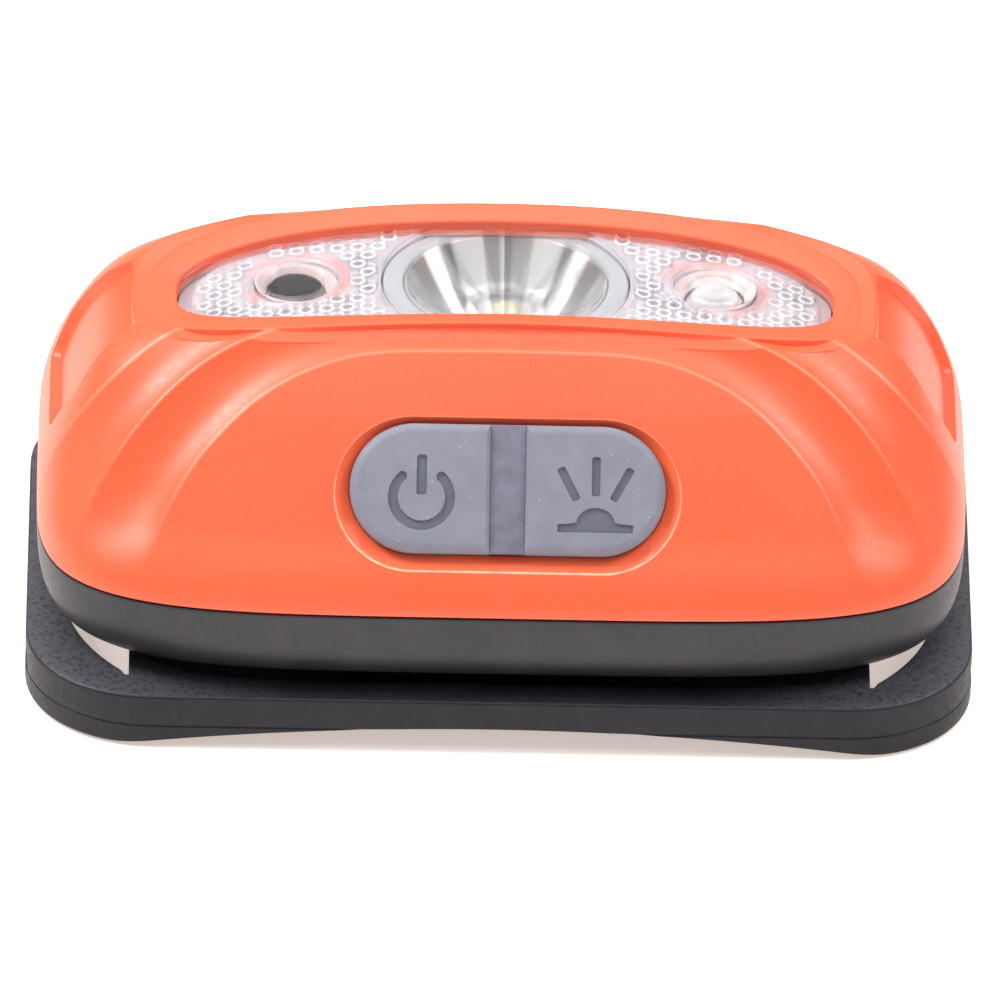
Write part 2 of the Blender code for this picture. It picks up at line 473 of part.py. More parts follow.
gasket = mesh_object("housing_gasket", *loft([flat_ring(tau, 28.2, 17.0, N_BODY, 8.8), flat_ring(tau, 28.2, 17.0, N_BODY, 10.1),
                                              flat_ring(tau, 27.4, 16.2, N_BODY, 10.1), flat_ring(tau, 27.4, 16.2, N_BODY, 8.8)], closed=True), RUBBER, parent=tilt)

# ---------------------------------------------------------------- bracket
def quarter_outline(steps=7):
    """The bracket's outline: straight long sides, soft corners, slightly bowed ends."""
    pts = []
    cx, cy = 22.4, 11.0
    for k in range(steps * 2 + 1):
        a = math.radians(90 * k / (steps * 2))
        rx, ry = BR_A - cx, BR_B - cy
        pts.append((cx + rx * math.cos(a) ** (2 / 2.15), cy + ry * math.sin(a) ** (2 / 2.15)))
    return pts
corner = quarter_outline(6)                      # from the end (31, 11) round to (22.4, 20.2)
rim = np.array(corner + [(0.0, BR_B)] + [(-x, y) for x, y in reversed(corner)]
               + [(-x, -y) for x, y in corner] + [(0.0, -BR_B)] + [(x, -y) for x, y in reversed(corner)])

def inset(p, d):
    """A closed outline moved inwards by d along its own normals."""
    nxt, prv = np.roll(p, -1, 0), np.roll(p, 1, 0)
    t = nxt - prv
    t /= np.linalg.norm(t, axis=1, keepdims=True)
    n = np.stack([-t[:, 1], t[:, 0]], 1)
    return p + n * d

def level(p, z):
    return np.concatenate([p, np.full((len(p), 1), z)], 1)

br = mesh_object("bracket", *loft([level(inset(rim, 0.45), 0.0), level(inset(rim, 0.12), 0.2), level(rim, 0.6), level(rim, BR_T - 0.35),
                                   level(inset(rim, 0.12), BR_T - 0.1), level(inset(rim, 0.4), BR_T)]), BRACKET)
# the underside arches between the two feet
arch = [(x, ARCH * (1 - (x / FOOT_X) ** 2)) for x in np.linspace(-FOOT_X, FOOT_X, 15)]
prof = np.array(arch + [(FOOT_X, -2.0), (-FOOT_X, -2.0)])
boolean(br, cutter("arch", loft([[(x, y, z) for x, z in prof] for y in (-25.0, 25.0)])))
# the middle panel lies a little below the rim
panel = np.stack(outline(tau_samples(48, 24.9, 17.5, 6), 24.9, 17.5, 6), 1)
boolean(br, cutter("panel", loft([level(panel, 2.9), level(inset(panel, -0.5), 5.0)])))
# strap slots, bowed outwards like the ends
for s, side in ((-1, "left"), (1, "right")):
    half = []
    for yy in np.linspace(-1, 1, 13):
        y = yy * 17.3
        x = SLOT_OUT - (SLOT_OUT - SLOT_IN) * abs(yy) ** 3.5
        half.append((x, y))
    half[0], half[-1] = (SLOT_IN + 0.25, -17.3), (SLOT_IN + 0.25, 17.3)
    o = np.array([(SLOT_IN, -17.3)] + half + [(SLOT_IN, 17.3)])
    if s < 0:
        o = o[::-1] * np.array([-1, 1])
    boolean(br, cutter("slot_" + side, loft([level(o, -2.0), level(o, 6.0)])))
    # side window below the rim, where the strap comes out
    x0, x1 = sorted((s * 27.0, s * 34.0))
    boolean(br, cutter("window_" + side, loft([[(x, y, z) for y, z in ((-12.6, 1.1), (12.6, 1.1), (13.1, 1.5), (13.1, 2.2), (12.6, 2.6), (-12.6, 2.6), (-13.1, 2.2), (-13.1, 1.5))] for x in (x0, x1)])))
# hinge ears
for s in (-1, 1):
    x0, x1 = sorted((s * EAR_X0, s * EAR_X1))
    ear = []
    for x in (x0, x1):
        ear.append([(x, HINGE_Y + 1.85 * math.cos(a), HINGE_Z + 1.85 * math.sin(a)) for a in np.linspace(-0.15, math.pi + 0.15, 11)] + [(x, HINGE_Y - 2.0, 2.6), (x, HINGE_Y + 2.0, 2.6)])
    boolean(br, cutter("ear_%d" % (s + 1), loft(ear)), "UNION")
boolean(br, cutter("barrel_room", box(-EAR_X0 + 0.02, EAR_X0 - 0.02, HINGE_Y - 2.6, 19.4, 2.9, 8.0)))
boolean(br, cutter("ear_bore", turned([(0, -14.5), (PIN_R + 0.3, -14.5), (PIN_R + 0.3, 14.5), (0, 14.5)], (0, HINGE_Y, HINGE_Z), 16, "X")))
mesh_object("hinge_pin", *turned([(0, -12.3), (PIN_R - 0.15, -12.3), (PIN_R, -12.1), (PIN_R, 12.1), (PIN_R - 0.15, 12.3), (0, 12.3)], (0, HINGE_Y, HINGE_Z), 16, "X"), STEEL)
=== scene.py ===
# Looks of the rechargeable headlamp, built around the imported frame.
# Dimensions are in millimetres in the part's own frame: +X along the length, -Y towards the keypad, +Z along the beam.
import bpy, bmesh, math
import numpy as np
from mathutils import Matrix, Quaternion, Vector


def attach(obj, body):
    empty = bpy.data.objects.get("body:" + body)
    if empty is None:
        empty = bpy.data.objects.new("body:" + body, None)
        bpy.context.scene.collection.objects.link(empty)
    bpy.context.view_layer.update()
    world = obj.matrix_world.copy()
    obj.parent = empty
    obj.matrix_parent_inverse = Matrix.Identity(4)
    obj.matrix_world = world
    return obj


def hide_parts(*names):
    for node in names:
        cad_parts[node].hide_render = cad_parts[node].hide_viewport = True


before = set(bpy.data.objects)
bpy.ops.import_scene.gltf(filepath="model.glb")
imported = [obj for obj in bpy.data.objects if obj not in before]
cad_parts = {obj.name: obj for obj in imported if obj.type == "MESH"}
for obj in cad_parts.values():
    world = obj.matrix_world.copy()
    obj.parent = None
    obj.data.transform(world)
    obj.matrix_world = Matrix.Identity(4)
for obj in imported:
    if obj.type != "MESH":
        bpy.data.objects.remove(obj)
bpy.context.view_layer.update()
MM = 0.001

# ------------------------------------------------------------------ dimensions shared with the design
SEAM_A, SEAM_B, SEAM_Z = 30.45, 19.6, 9.85
LIP_A, LIP_B, LIP_Z, LIP_FALL = 23.3, 8.25, 25.4, 0.37
WIN_A, WIN_B = 21.5, 6.25
DOME_2, DOME_4 = 0.0040, 2.0e-6
N_BODY, N_TOP, N_LIP, N_WIN = 4.5, 3.9, 3.5, 2.9
BR_A, BR_B, BR_T = 31.0, 20.2, 3.7
ARCH, FOOT_X = 1.7, 26.0
SLOT_IN, SLOT_OUT = 24.2, 28.8
HINGE_Y, HINGE_Z, PIN_R = 17.3, 5.3, 0.8
EAR_X0, EAR_X1 = 9.5, 12.5
KEY_Y, KEY_Z = -14.53, 16.36
KEY_W, KEY_H, KEY_PROUD = 20.6, 8.5, 1.35
SENSOR_X, SENSOR_Y = 13.7, 0.6
SCREW_X, SCREW_Y = 22.5, 10.3
PORT_Z = 14.2
FLAP_W, FLAP_H = 11.0, 5.0
RING_R = 8.1
RISE, RUN = LIP_Z - SEAM_Z, SEAM_B - LIP_B
SLOPE = math.hypot(RISE, RUN)
UP = np.array([0.0, RUN / SLOPE, RISE / SLOPE])
OUT = np.array([0.0, -RISE / SLOPE, RUN / SLOPE])
KEY_C = np.array([0.25, KEY_Y, KEY_Z])
PORT_UP = (PORT_Z - KEY_Z) / UP[2]

# ------------------------------------------------------------------ mesh helpers
def new_object(name, verts, faces, mats=(), smooth=40.0, tidy=True):
    me = bpy.data.meshes.new(name)
    me.from_pydata([tuple(p) for p in np.asarray(verts, float) * MM], [], [tuple(int(i) for i in f) for f in faces])
    if tidy:
        bm = bmesh.new()
        bm.from_mesh(me)
        bmesh.ops.remove_doubles(bm, verts=bm.verts, dist=1e-7)
        bmesh.ops.recalc_face_normals(bm, faces=bm.faces)
        bm.to_mesh(me)
        bm.free()
    for m in mats:
        me.materials.append(m)
    me.shade_smooth()
    if smooth is not None:
        me.set_sharp_from_angle(angle=math.radians(smooth))
    ob = bpy.data.objects.new(name, me)
    bpy.context.scene.collection.objects.link(ob)
    return ob

def loft(rings, closed=False):
    k, n = len(rings), len(rings[0])
    verts = np.concatenate([np.asarray(r, float) for r in rings])
    i = np.arange(k if closed else k - 1)[:, None]
    j = np.arange(n)[None, :]
    a, b = i * n, ((i + 1) % k) * n
    quads = np.stack([a + j, a + (j + 1) % n, b + (j + 1) % n, b + j], -1).reshape(-1, 4)
    faces = [tuple(q) for q in quads]
    if not closed:
        faces.append(tuple(range(n - 1, -1, -1)))
        faces.append(tuple((k - 1) * n + q for q in range(n)))
    return verts, faces

def tau_samples(n_pts, a, b, n):
    t = np.linspace(0, 2 * np.pi, 8001)
    r = (np.abs(np.cos(t)) ** n + np.abs(np.sin(t)) ** n) ** (-1 / n)
    x, y = a * r * np.cos(t), b * r * np.sin(t)
    s = np.concatenate([[0], np.cumsum(np.hypot(np.diff(x), np.diff(y)))])
    return np.interp(np.arange(n_pts) / n_pts * s[-1], s, t)

def outline(tau, a, b, n):
    r = (np.abs(np.cos(tau)) ** n + np.abs(np.sin(tau)) ** n) ** (-1 / n)
    return a * r * np.cos(tau), b * r * np.sin(tau)

def ring(tau, a, b, n, z_end, z_side):
    x, y = outline(tau, a, b, n)
    r = (np.abs(np.cos(tau)) ** n + np.abs(np.sin(tau)) ** n) ** (-1 / n)
    cx, cy = np.abs(r * np.cos(tau)) ** 3, np.abs(r * np.sin(tau)) ** 3
    w = cx / (cx + cy)
    return np.stack([x, y, w * z_end + (1 - w) * z_side], 1)

def flat_ring(tau, a, b, n, z):
    x, y = outline(tau, a, b, n)
    return np.stack([x, y, np.full_like(x, z)], 1)

def fall(x):
    """How far the front face lies below its middle at x."""
    return DOME_2 * x ** 2 + DOME_4 * x ** 4

def domed_ring(tau, a, b, n, z):
    x, y = outline(tau, a, b, n)
    return np.stack([x, y, z - fall(x)], 1)

def spline(rows, n, ends=None):
    """A natural cubic through rows of numbers, read at n places spaced evenly along it."""
    p = np.asarray(rows, float)
    t = np.concatenate([[0], np.cumsum(np.linalg.norm(np.diff(p, axis=0), axis=1))])
    m = len(t)
    h = np.diff(t)
    A = np.zeros((m, m)); B = np.zeros((m, p.shape[1]))
    A[0, 0] = A[-1, -1] = 1
    for i in range(1, m - 1):
        A[i, i - 1], A[i, i], A[i, i + 1] = h[i - 1], 2 * (h[i - 1] + h[i]), h[i]
        B[i] = 6 * ((p[i + 1] - p[i]) / h[i] - (p[i] - p[i - 1]) / h[i - 1])
    M = np.linalg.solve(A, B)
    def at(u):
        u = np.asarray(u)
        i = np.clip(np.searchsorted(t, u) - 1, 0, m - 2)
        hi = h[i][:, None]
        a, b = (t[i + 1] - u)[:, None], (u - t[i])[:, None]
        return (M[i] * a ** 3 + M[i + 1] * b ** 3) / (6 * hi) + (p[i] / hi - M[i] * hi / 6) * a + (p[i + 1] / hi - M[i + 1] * hi / 6) * b
    fine = at(np.linspace(0, t[-1], 2000))
    s = np.concatenate([[0], np.cumsum(np.linalg.norm(np.diff(fine, axis=0), axis=1))])
    return at(np.interp(np.linspace(0, s[-1], n), s, np.linspace(0, t[-1], 2000)))

def box(x0, x1, y0, y1, z0, z1):
    v = [(x, y, z) for z in (z0, z1) for x, y in ((x0, y0), (x1, y0), (x1, y1), (x0, y1))]
    f = [(3, 2, 1, 0), (4, 5, 6, 7), (0, 1, 5, 4), (1, 2, 6, 5), (2, 3, 7, 6), (3, 0, 4, 7)]
    return np.array(v, float), f

def join(parts):
    verts, faces, at = [], [], 0
    for v, f in parts:
        verts.append(np.asarray(v, float))
        faces += [tuple(i + at for i in face) for face in f]
        at += len(v)
    return np.concatenate(verts), faces

def turned(profile, centre=(0, 0, 0), segments=64, axis="Z", sweep=None):
    verts, faces, rows = [], [], []
    for r, h in profile:
        if r < 1e-6:
            rows.append([len(verts)])
            verts.append((0, 0, h))
        else:
            rows.append(list(range(len(verts), len(verts) + segments)))
            verts += [(r * math.cos(2 * math.pi * k / segments), r * math.sin(2 * math.pi * k / segments), h) for k in range(segments)]
    closed = profile[0][0] > 1e-6 and profile[-1][0] > 1e-6
    for a, b in list(zip(rows, rows[1:])) + ([(rows[-1], rows[0])] if closed else []):
        if len(a) == 1 and len(b) == 1:
            continue
        for k in range(segments):
            k2 = (k + 1) % segments
            if len(a) == 1:
                faces.append((a[0], b[k2], b[k]))
            elif len(b) == 1:
                faces.append((a[k], a[k2], b[0]))
            else:
                faces.append((a[k], a[k2], b[k2], b[k]))
    v = np.array(verts, float)
    if axis == "X":
        v = v[:, [2, 0, 1]]
    return v + np.array(centre, float), faces

def fillet(corner_points, r, steps=5):
    """An open 2-D path with its inner corners rounded to radius r each (r may be a list)."""
    p = [np.array(q, float) for q in corner_points]
    out = [tuple(p[0])]
    for i in range(1, len(p) - 1):
        ri = r[i - 1] if isinstance(r, (list, tuple)) else r
        a, b, c = p[i - 1], p[i], p[i + 1]
        u, v = (a - b) / np.linalg.norm(a - b), (c - b) / np.linalg.norm(c - b)
        ang = math.acos(max(-1, min(1, float(u @ v))))
        if ri <= 0 or abs(math.pi - ang) < 1e-3:
            out.append(tuple(b))
            continue
        d = min(ri / math.tan(ang / 2), 0.49 * np.linalg.norm(a - b), 0.49 * np.linalg.norm(c - b))
        rr = d * math.tan(ang / 2)
        m = b + (u + v) / np.linalg.norm(u + v) * rr / math.sin(ang / 2)
        s, e = b + u * d - m, b + v * d - m
        a0, a1 = math.atan2(s[1], s[0]), math.atan2(e[1], e[0])
        da = (a1 - a0 + math.pi) % (2 * math.pi) - math.pi
        for k in range(steps + 1):
            t = a0 + da * k / steps
            out.append((m[0] + rr * math.cos(t), m[1] + rr * math.sin(t)))
    out.append(tuple(p[-1]))
    return out

def apply_boolean(ob, part, op="DIFFERENCE", self_hits=False):
    """Cuts or joins closed shapes given as (points, faces), and leaves plain mesh behind."""
    cut = new_object("cut", part[0], part[1])
    m = ob.modifiers.new("b", "BOOLEAN")
    m.operation, m.solver, m.object, m.use_self = op, "EXACT", cut, self_hits
    bake(ob)
    bpy.data.objects.remove(cut, do_unlink=True)

def bake(ob):
    dg = bpy.context.evaluated_depsgraph_get()
    dg.update()
    me = bpy.data.meshes.new_from_object(ob.evaluated_get(dg), preserve_all_data_layers=True, depsgraph=dg)
    old = ob.data
    ob.modifiers.clear()
    ob.data = me
    bpy.data.meshes.remove(old)

def finish_smooth(ob, angle=35.0):
    ob.data.shade_smooth()
    ob.data.set_sharp_from_angle(angle=math.radians(angle))

def on_facet(points, far=False):
    p = np.asarray(points, float)
    w = KEY_C + p[:, :1] * np.array([1.0, 0, 0]) + p[:, 1:2] * UP + p[:, 2:3] * OUT
    return w * np.array([1, -1, 1]) if far else w

def stadium(w, h, arc=32, straight=24):
    r, c = h / 2, w / 2 - h / 2
    pts = [(c + r * math.cos(a), r * math.sin(a)) for a in np.linspace(-math.pi / 2, math.pi / 2, arc + 1)]
    pts += [(x, r) for x in np.linspace(c, -c, straight + 1)[1:-1]]
    pts += [(-c - r * math.cos(a), -r * math.sin(a)) for a in np.linspace(-math.pi / 2, math.pi / 2, arc + 1)]
    pts += [(x, -r) for x in np.linspace(-c, c, straight + 1)[1:-1]]
    return np.array(pts)

def offset(p, d):
    """A closed anticlockwise outline moved inwards by d along its own normals."""
    t = np.roll(p, -1, 0) - np.roll(p, 1, 0)
    t /= np.linalg.norm(t, axis=1, keepdims=True)
    return p + np.stack([-t[:, 1], t[:, 0]], 1) * d

def levels(p2, prof):
    """Rings of an outline: (height, inset) pairs."""
    return [np.concatenate([offset(p2, i), np.full((len(p2), 1), h)], 1) for h, i in prof]

def smooth01(t):
    t = np.clip(t, 0, 1)
    return t * t * (3 - 2 * t)

def ride(ob, body, slot=None, *nodes):
    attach(ob, body)
    if nodes:
        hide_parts(*nodes)
    return ob

# ------------------------------------------------------------------ materials
class Nodes:
    """A short way to write a node tree."""
    def __init__(self, name):
        self.m = bpy.data.materials.new(name)
        self.m.use_nodes = True
        self.t = self.m.node_tree
        self.b = self.t.nodes["Principled BSDF"]
        self.coord = self.t.nodes.new("ShaderNodeTexCoord").outputs["Object"]
    def set(self, **kw):
        for k, v in kw.items():
            self.b.inputs[k.replace("_", " ")].default_value = v
        return self
    def link(self, a, b):
        self.t.links.new(a, b)
    def mapped(self, scale):
        n = self.t.nodes.new("ShaderNodeMapping")
        n.inputs["Scale"].default_value = scale
        self.link(self.coord, n.inputs["Vector"])
        return n.outputs["Vector"]
    def noise(self, scale, detail=2.0, rough=0.5, vector=None, distortion=0.0):
        n = self.t.nodes.new("ShaderNodeTexNoise")
        n.inputs["Scale"].default_value = scale
        n.inputs["Detail"].default_value = detail
        n.inputs["Roughness"].default_value = rough
        n.inputs["Distortion"].default_value = distortion
        self.link(vector or self.coord, n.inputs["Vector"])
        return n.outputs["Fac"]
    def voronoi(self, scale, feature="F1", vector=None, randomness=1.0):
        n = self.t.nodes.new("ShaderNodeTexVoronoi")
        n.feature = feature
        n.inputs["Scale"].default_value = scale
        n.inputs["Randomness"].default_value = randomness
        self.link(vector or self.coord, n.inputs["Vector"])
        return n.outputs["Distance"]
    def ramp(self, fac, *stops):
        n = self.t.nodes.new("ShaderNodeValToRGB")
        e = n.color_ramp.elements
        while len(e) < len(stops):
            e.new(0.5)
        for q, (pos, col) in zip(e, stops):
            q.position = pos
            q.color = (*col, 1.0) if len(col) == 3 else col
        self.link(fac, n.inputs["Fac"])
        return n.outputs["Color"]
    def grey(self, fac, *stops):
        return self.ramp(fac, *[(p, (v, v, v)) for p, v in stops])
    def mix(self, fac, a, b, mode="MIX"):
        n = self.t.nodes.new("ShaderNodeMix")
        n.data_type = "RGBA"
        n.blend_type = mode
        for sock, val in ((n.inputs["Factor"], fac), (n.inputs[6], a), (n.inputs[7], b)):
            if isinstance(val, (int, float)):
                sock.default_value = val
            elif isinstance(val, tuple):
                sock.default_value = (*val, 1.0)
            else:
                self.link(val, sock)
        return n.outputs[2]
    def math(self, op, a, b=None):
        n = self.t.nodes.new("ShaderNodeMath")
        n.operation = op
        for sock, val in zip(n.inputs, (a, b)):
            if val is None:
                continue
            if isinstance(val, (int, float)):
                sock.default_value = val
            else:
                self.link(val, sock)
        return n.outputs[0]
    def attribute(self, name):
        n = self.t.nodes.new("ShaderNodeAttribute")
        n.attribute_name = name
        return n.outputs["Fac"]
    def color(self, sock):
        self.link(sock, self.b.inputs["Base Color"])
        return self
    def rough(self, sock):
        self.link(sock, self.b.inputs["Roughness"])
        return self
    def bump(self, height, strength=0.3, distance=0.05):
        n = self.t.nodes.new("ShaderNodeBump")
        n.inputs["Strength"].default_value = strength
        n.inputs["Distance"].default_value = distance * MM
        self.link(height, n.inputs["Height"])
        if self.b.inputs["Normal"].is_linked:
            self.link(self.b.inputs["Normal"].links[0].from_socket, n.inputs["Normal"])
        self.link(n.outputs["Normal"], self.b.inputs["Normal"])
        return self

K = 1000.0   # texture scales are per millimetre times this, since the frame is in metres

def orange_plastic():
    n = Nodes("orange_plastic")
    n.set(Roughness=0.38, Specular_IOR_Level=0.62, IOR=1.5)
    cloud = n.noise(0.09 * K, 3.0, 0.55)
    base = n.mix(n.grey(cloud, (0.3, 0.0), (0.72, 1.0)), (0.87, 0.100, 0.029), (0.92, 0.114, 0.037))
    fine = n.noise(7.0 * K, 2.0, 0.6)
    base = n.mix(n.grey(fine, (0.35, 0.0), (0.65, 0.30)), base, (0.96, 0.145, 0.06))
    # painted highlight: a thin pale line is painted along each flute crease, faded out lower down and on the far side
    near = [n.math("ABSOLUTE", n.math("SUBTRACT", n.attribute(a), 2.0)) for a in ("edge_1", "edge_2", "edge_3")]
    near = n.math("MINIMUM", n.math("MINIMUM", near[0], near[1]), near[2])
    crease_highlight = n.math("MULTIPLY", n.grey(near, (0.03, 0.26), (0.16, 0.0)), n.attribute("painted_light"))
    base = n.mix(crease_highlight, base, (1.0, 0.42, 0.26))
    # the keys' recess: painted light makes its sloping wall a brighter orange, and a painted highlight runs round its
    # rim, most along the lower edge
    xyz = n.t.nodes.new("ShaderNodeSeparateXYZ")
    n.link(n.coord, xyz.inputs[0])
    x_mm, y_mm, z_mm = (n.math("SUBTRACT", n.math("MULTIPLY", xyz.outputs[a], 1000.0), float(KEY_C[i])) for i, a in enumerate("XYZ"))
    along = n.math("MAXIMUM", n.math("SUBTRACT", n.math("ABSOLUTE", x_mm), 6.2), 0.0)
    up_mm = n.math("ADD", n.math("ADD", n.math("MULTIPLY", y_mm, float(UP[1])), n.math("MULTIPLY", z_mm, float(UP[2]))), 0.36)
    far_mm = n.math("SUBTRACT", n.math("POWER", n.math("ADD", n.math("MULTIPLY", along, along), n.math("MULTIPLY", up_mm, up_mm)), 0.5), 5.05)
    base = n.mix(n.grey(n.math("ADD", far_mm, 1.0), (0.90, 0.8), (0.98, 0.0)), base, (1.0, 0.15, 0.055))
    # painted highlight: a thin pale line on the recess rim, broken up by noise
    rim = n.grey(n.math("ABSOLUTE", n.math("SUBTRACT", far_mm, 0.03)), (0.035, 1.0), (0.10, 0.0))
    low_side = n.grey(n.math("ADD", n.math("MULTIPLY", up_mm, 0.1), 0.5), (0.05, 0.85), (0.35, 0.45), (0.75, 0.12), (1.0, 0.10))
    broken = n.grey(n.noise(1.2 * K, 2.0), (0.30, 0.55), (0.62, 1.0))
    n.color(n.mix(n.math("MULTIPLY", n.math("MULTIPLY", rim, low_side), broken), base, (1.0, 0.62, 0.42)))
    n.rough(n.grey(n.noise(2.2 * K, 3.0, 0.6), (0.3, 0.37), (0.7, 0.47)))
    n.bump(n.noise(9.0 * K, 2.0, 0.6), 0.25, 0.012)
    return n.m

def cover_plastic():
    n = Nodes("satin_black_plastic")
    n.set(Specular_IOR_Level=0.5)
    n.color(n.mix(n.grey(n.noise(0.25 * K, 3.0), (0.35, 0.0), (0.7, 1.0)), (0.016, 0.0155, 0.019), (0.024, 0.023, 0.028)))
    n.rough(n.grey(n.noise(3.0 * K, 3.0, 0.65), (0.3, 0.36), (0.7, 0.5)))
    n.bump(n.noise(8.0 * K, 2.0, 0.6), 0.35, 0.02)
    return n.m

def bracket_plastic():
    n = Nodes("grained_black_plastic")
    facing = n.t.nodes.new("ShaderNodeNewGeometry")
    axes = n.t.nodes.new("ShaderNodeSeparateXYZ")
    n.link(facing.outputs["Normal"], axes.inputs[0])
    upward = n.grey(axes.outputs["Z"], (0.80, 0.0), (0.97, 1.0))
    n.link(n.grey(axes.outputs["Z"], (0.3, 0.34), (0.95, 0.42)), n.b.inputs["Specular IOR Level"])
    grain = n.voronoi(2.6 * K, "SMOOTH_F1")
    wall = n.mix(n.grey(n.noise(0.3 * K, 3.0), (0.35, 0.0), (0.7, 1.0)), (0.007, 0.007, 0.011), (0.012, 0.012, 0.018))
    # painted light: the upper face is coloured paler with its moulded grain, as if lit from above
    painted_light = n.mix(n.grey(grain, (0.10, 0.0), (0.45, 1.0)), (0.036, 0.035, 0.045), (0.084, 0.082, 0.098))
    place = n.t.nodes.new("ShaderNodeSeparateXYZ")
    n.link(n.coord, place.inputs[0])
    # painted shade: the middle of the upper face, under the housing, keeps mostly the dark wall colour; the ends get
    # the painted light
    towards_ends = n.grey(n.math("MULTIPLY", n.math("ABSOLUTE", place.outputs["X"]), 1.0 / 0.031), (0.45, 0.12), (0.95, 1.0))
    n.color(n.mix(n.math("MULTIPLY", upward, towards_ends), wall, painted_light))
    n.rough(n.grey(n.noise(2.5 * K, 3.0, 0.65), (0.3, 0.40), (0.7, 0.55)))
    n.bump(grain, 0.55, 0.05)
    n.bump(n.noise(9.0 * K, 2.0, 0.6), 0.3, 0.02)
    return n.m

def silicone(name, dark=False):
    n = Nodes(name)
    n.set(Specular_IOR_Level=0.4)
    a, b = ((0.115, 0.120, 0.155), (0.135, 0.140, 0.180)) if dark else ((0.205, 0.208, 0.262), (0.235, 0.238, 0.295))
    base = n.mix(n.grey(n.noise(0.5 * K, 3.0), (0.35, 0.0), (0.7, 1.0)), a, b)
    if not dark:   # lint and dust: sparse pale specks
        speck = n.grey(n.voronoi(2.3 * K), (0.06, 1.0), (0.10, 0.0))
        pick = n.grey(n.noise(1.1 * K, 1.0), (0.50, 0.0), (0.58, 0.7))
        base = n.mix(n.math("MULTIPLY", speck, pick), base, (0.75, 0.76, 0.80))
    n.color(base)
    n.rough(n.grey(n.noise(4.0 * K, 3.0, 0.65), (0.3, 0.50), (0.7, 0.66)))
    n.bump(n.noise(7.0 * K, 2.0, 0.6), 0.35, 0.02)
    return n.m

def clear_plastic():
    n = Nodes("clear_lens")
    n.set(Transmission_Weight=1.0, IOR=1.30, Roughness=0.02, Alpha=0.28, Specular_IOR_Level=0.12)
    n.b.inputs["Base Color"].default_value = (0.99, 0.99, 1.0, 1)
    n.rough(n.grey(n.noise(0.8 * K, 4.0, 0.7), (0.3, 0.01), (0.75, 0.035)))
    return n.m

def insert_plastic():
    n = Nodes("dimpled_lens")
    n.set(Metallic=0.10, Specular_IOR_Level=0.35)
    base = n.mix(n.grey(n.noise(0.4 * K, 3.0), (0.35, 0.0), (0.7, 1.0)), (0.50, 0.475, 0.51), (0.64, 0.60, 0.645))
    base = n.mix(n.grey(n.noise(0.9 * K, 2.0), (0.52, 0.0), (0.66, 0.35)), base, (0.92, 0.62, 0.64))
    # painted shade: the dimpled area is darkened, some patches more than others, for the dark inside of the housing
    # seen through the clear lens
    between = n.math("MULTIPLY", n.attribute("between"), n.grey(n.noise(0.30 * K, 1.0), (0.40, 0.15), (0.62, 0.75)))
    base = n.mix(between, base, (0.20, 0.18, 0.21))
    # painted highlight: the crests of the dimple rings are made near white
    base = n.mix(n.grey(n.attribute("loop"), (0.25, 0.0), (0.6, 1.0)), base, (0.97, 0.95, 0.98))
    # painted shade: the dimple centres are made near black
    deep = n.math("MULTIPLY", n.grey(n.attribute("pit"), (0.35, 0.0), (0.75, 1.0)), n.grey(n.noise(0.35 * K, 1.0), (0.36, 0.6), (0.52, 1.0)))
    base = n.mix(deep, base, (0.035, 0.035, 0.04))
    red = n.math("MULTIPLY", n.attribute("blush"), n.grey(n.noise(0.45 * K, 2.0), (0.45, 0.0), (0.6, 0.8)))
    base = n.mix(red, base, (0.80, 0.30, 0.27))
    n.color(n.mix(n.attribute("plain_rim"), base, (0.52, 0.52, 0.55)))
    n.rough(n.grey(n.noise(3.0 * K, 3.0, 0.65), (0.3, 0.16), (0.7, 0.30)))
    n.bump(n.noise(3.5 * K, 2.0, 0.6), 0.25, 0.03)
    return n.m

def metallised():
    n = Nodes("metallised_bowl")
    n.set(Metallic=0.45)
    # fine streaks that run down the bowl: noise over the direction round the axis
    xyz = n.t.nodes.new("ShaderNodeSeparateXYZ")
    n.link(n.coord, xyz.inputs[0])
    ang = n.math("ARCTAN2", xyz.outputs["Y"], xyz.outputs["X"])
    comb = n.t.nodes.new("ShaderNodeCombineXYZ")
    n.link(n.math("COSINE", ang), comb.inputs["X"])
    n.link(n.math("SINE", ang), comb.inputs["Y"])
    n.link(n.math("MULTIPLY", xyz.outputs["Z"], 4.0), comb.inputs["Z"])
    streak = n.noise(7.0, 3.0, 0.6, comb.outputs[0])
    # painted reflections: the bowl's broad flutes are light and dark wedges set by the direction round the axis, from
    # the far side
    turn = n.math("DIVIDE", n.math("ARCTAN2", xyz.outputs["X"], xyz.outputs["Y"]), 2 * math.pi)
    turn = n.math("ADD", n.math("ADD", turn, 0.5), n.math("MULTIPLY", n.math("SUBTRACT", streak, 0.5), 0.012))
    stops = []
    for deg, v in ((-180, 0.8), (-90, 0.55), (-77, 0.32), (-58, 0.40), (-54, 0.98), (-44, 0.95), (-41, 0.22), (-35, 0.25), (-32, 1.0), (-14, 1.0), (-12.5, 0.42), (-3.2, 0.46),
                   (-2.6, 0.98), (-1.4, 0.98), (-0.8, 0.30), (3.5, 0.32), (6, 0.50), (16.5, 0.55), (18.5, 1.0), (36, 1.0), (38.5, 0.28), (44, 0.40), (48, 0.95), (56, 0.95), (59, 0.36), (78, 0.30), (90, 0.55), (180, 0.8)):
        stops.append((deg / 360 + 0.5, v))
    n.color(n.grey(turn, *stops))
    n.rough(n.grey(streak, (0.3, 0.16), (0.7, 0.07)))
    return n.m

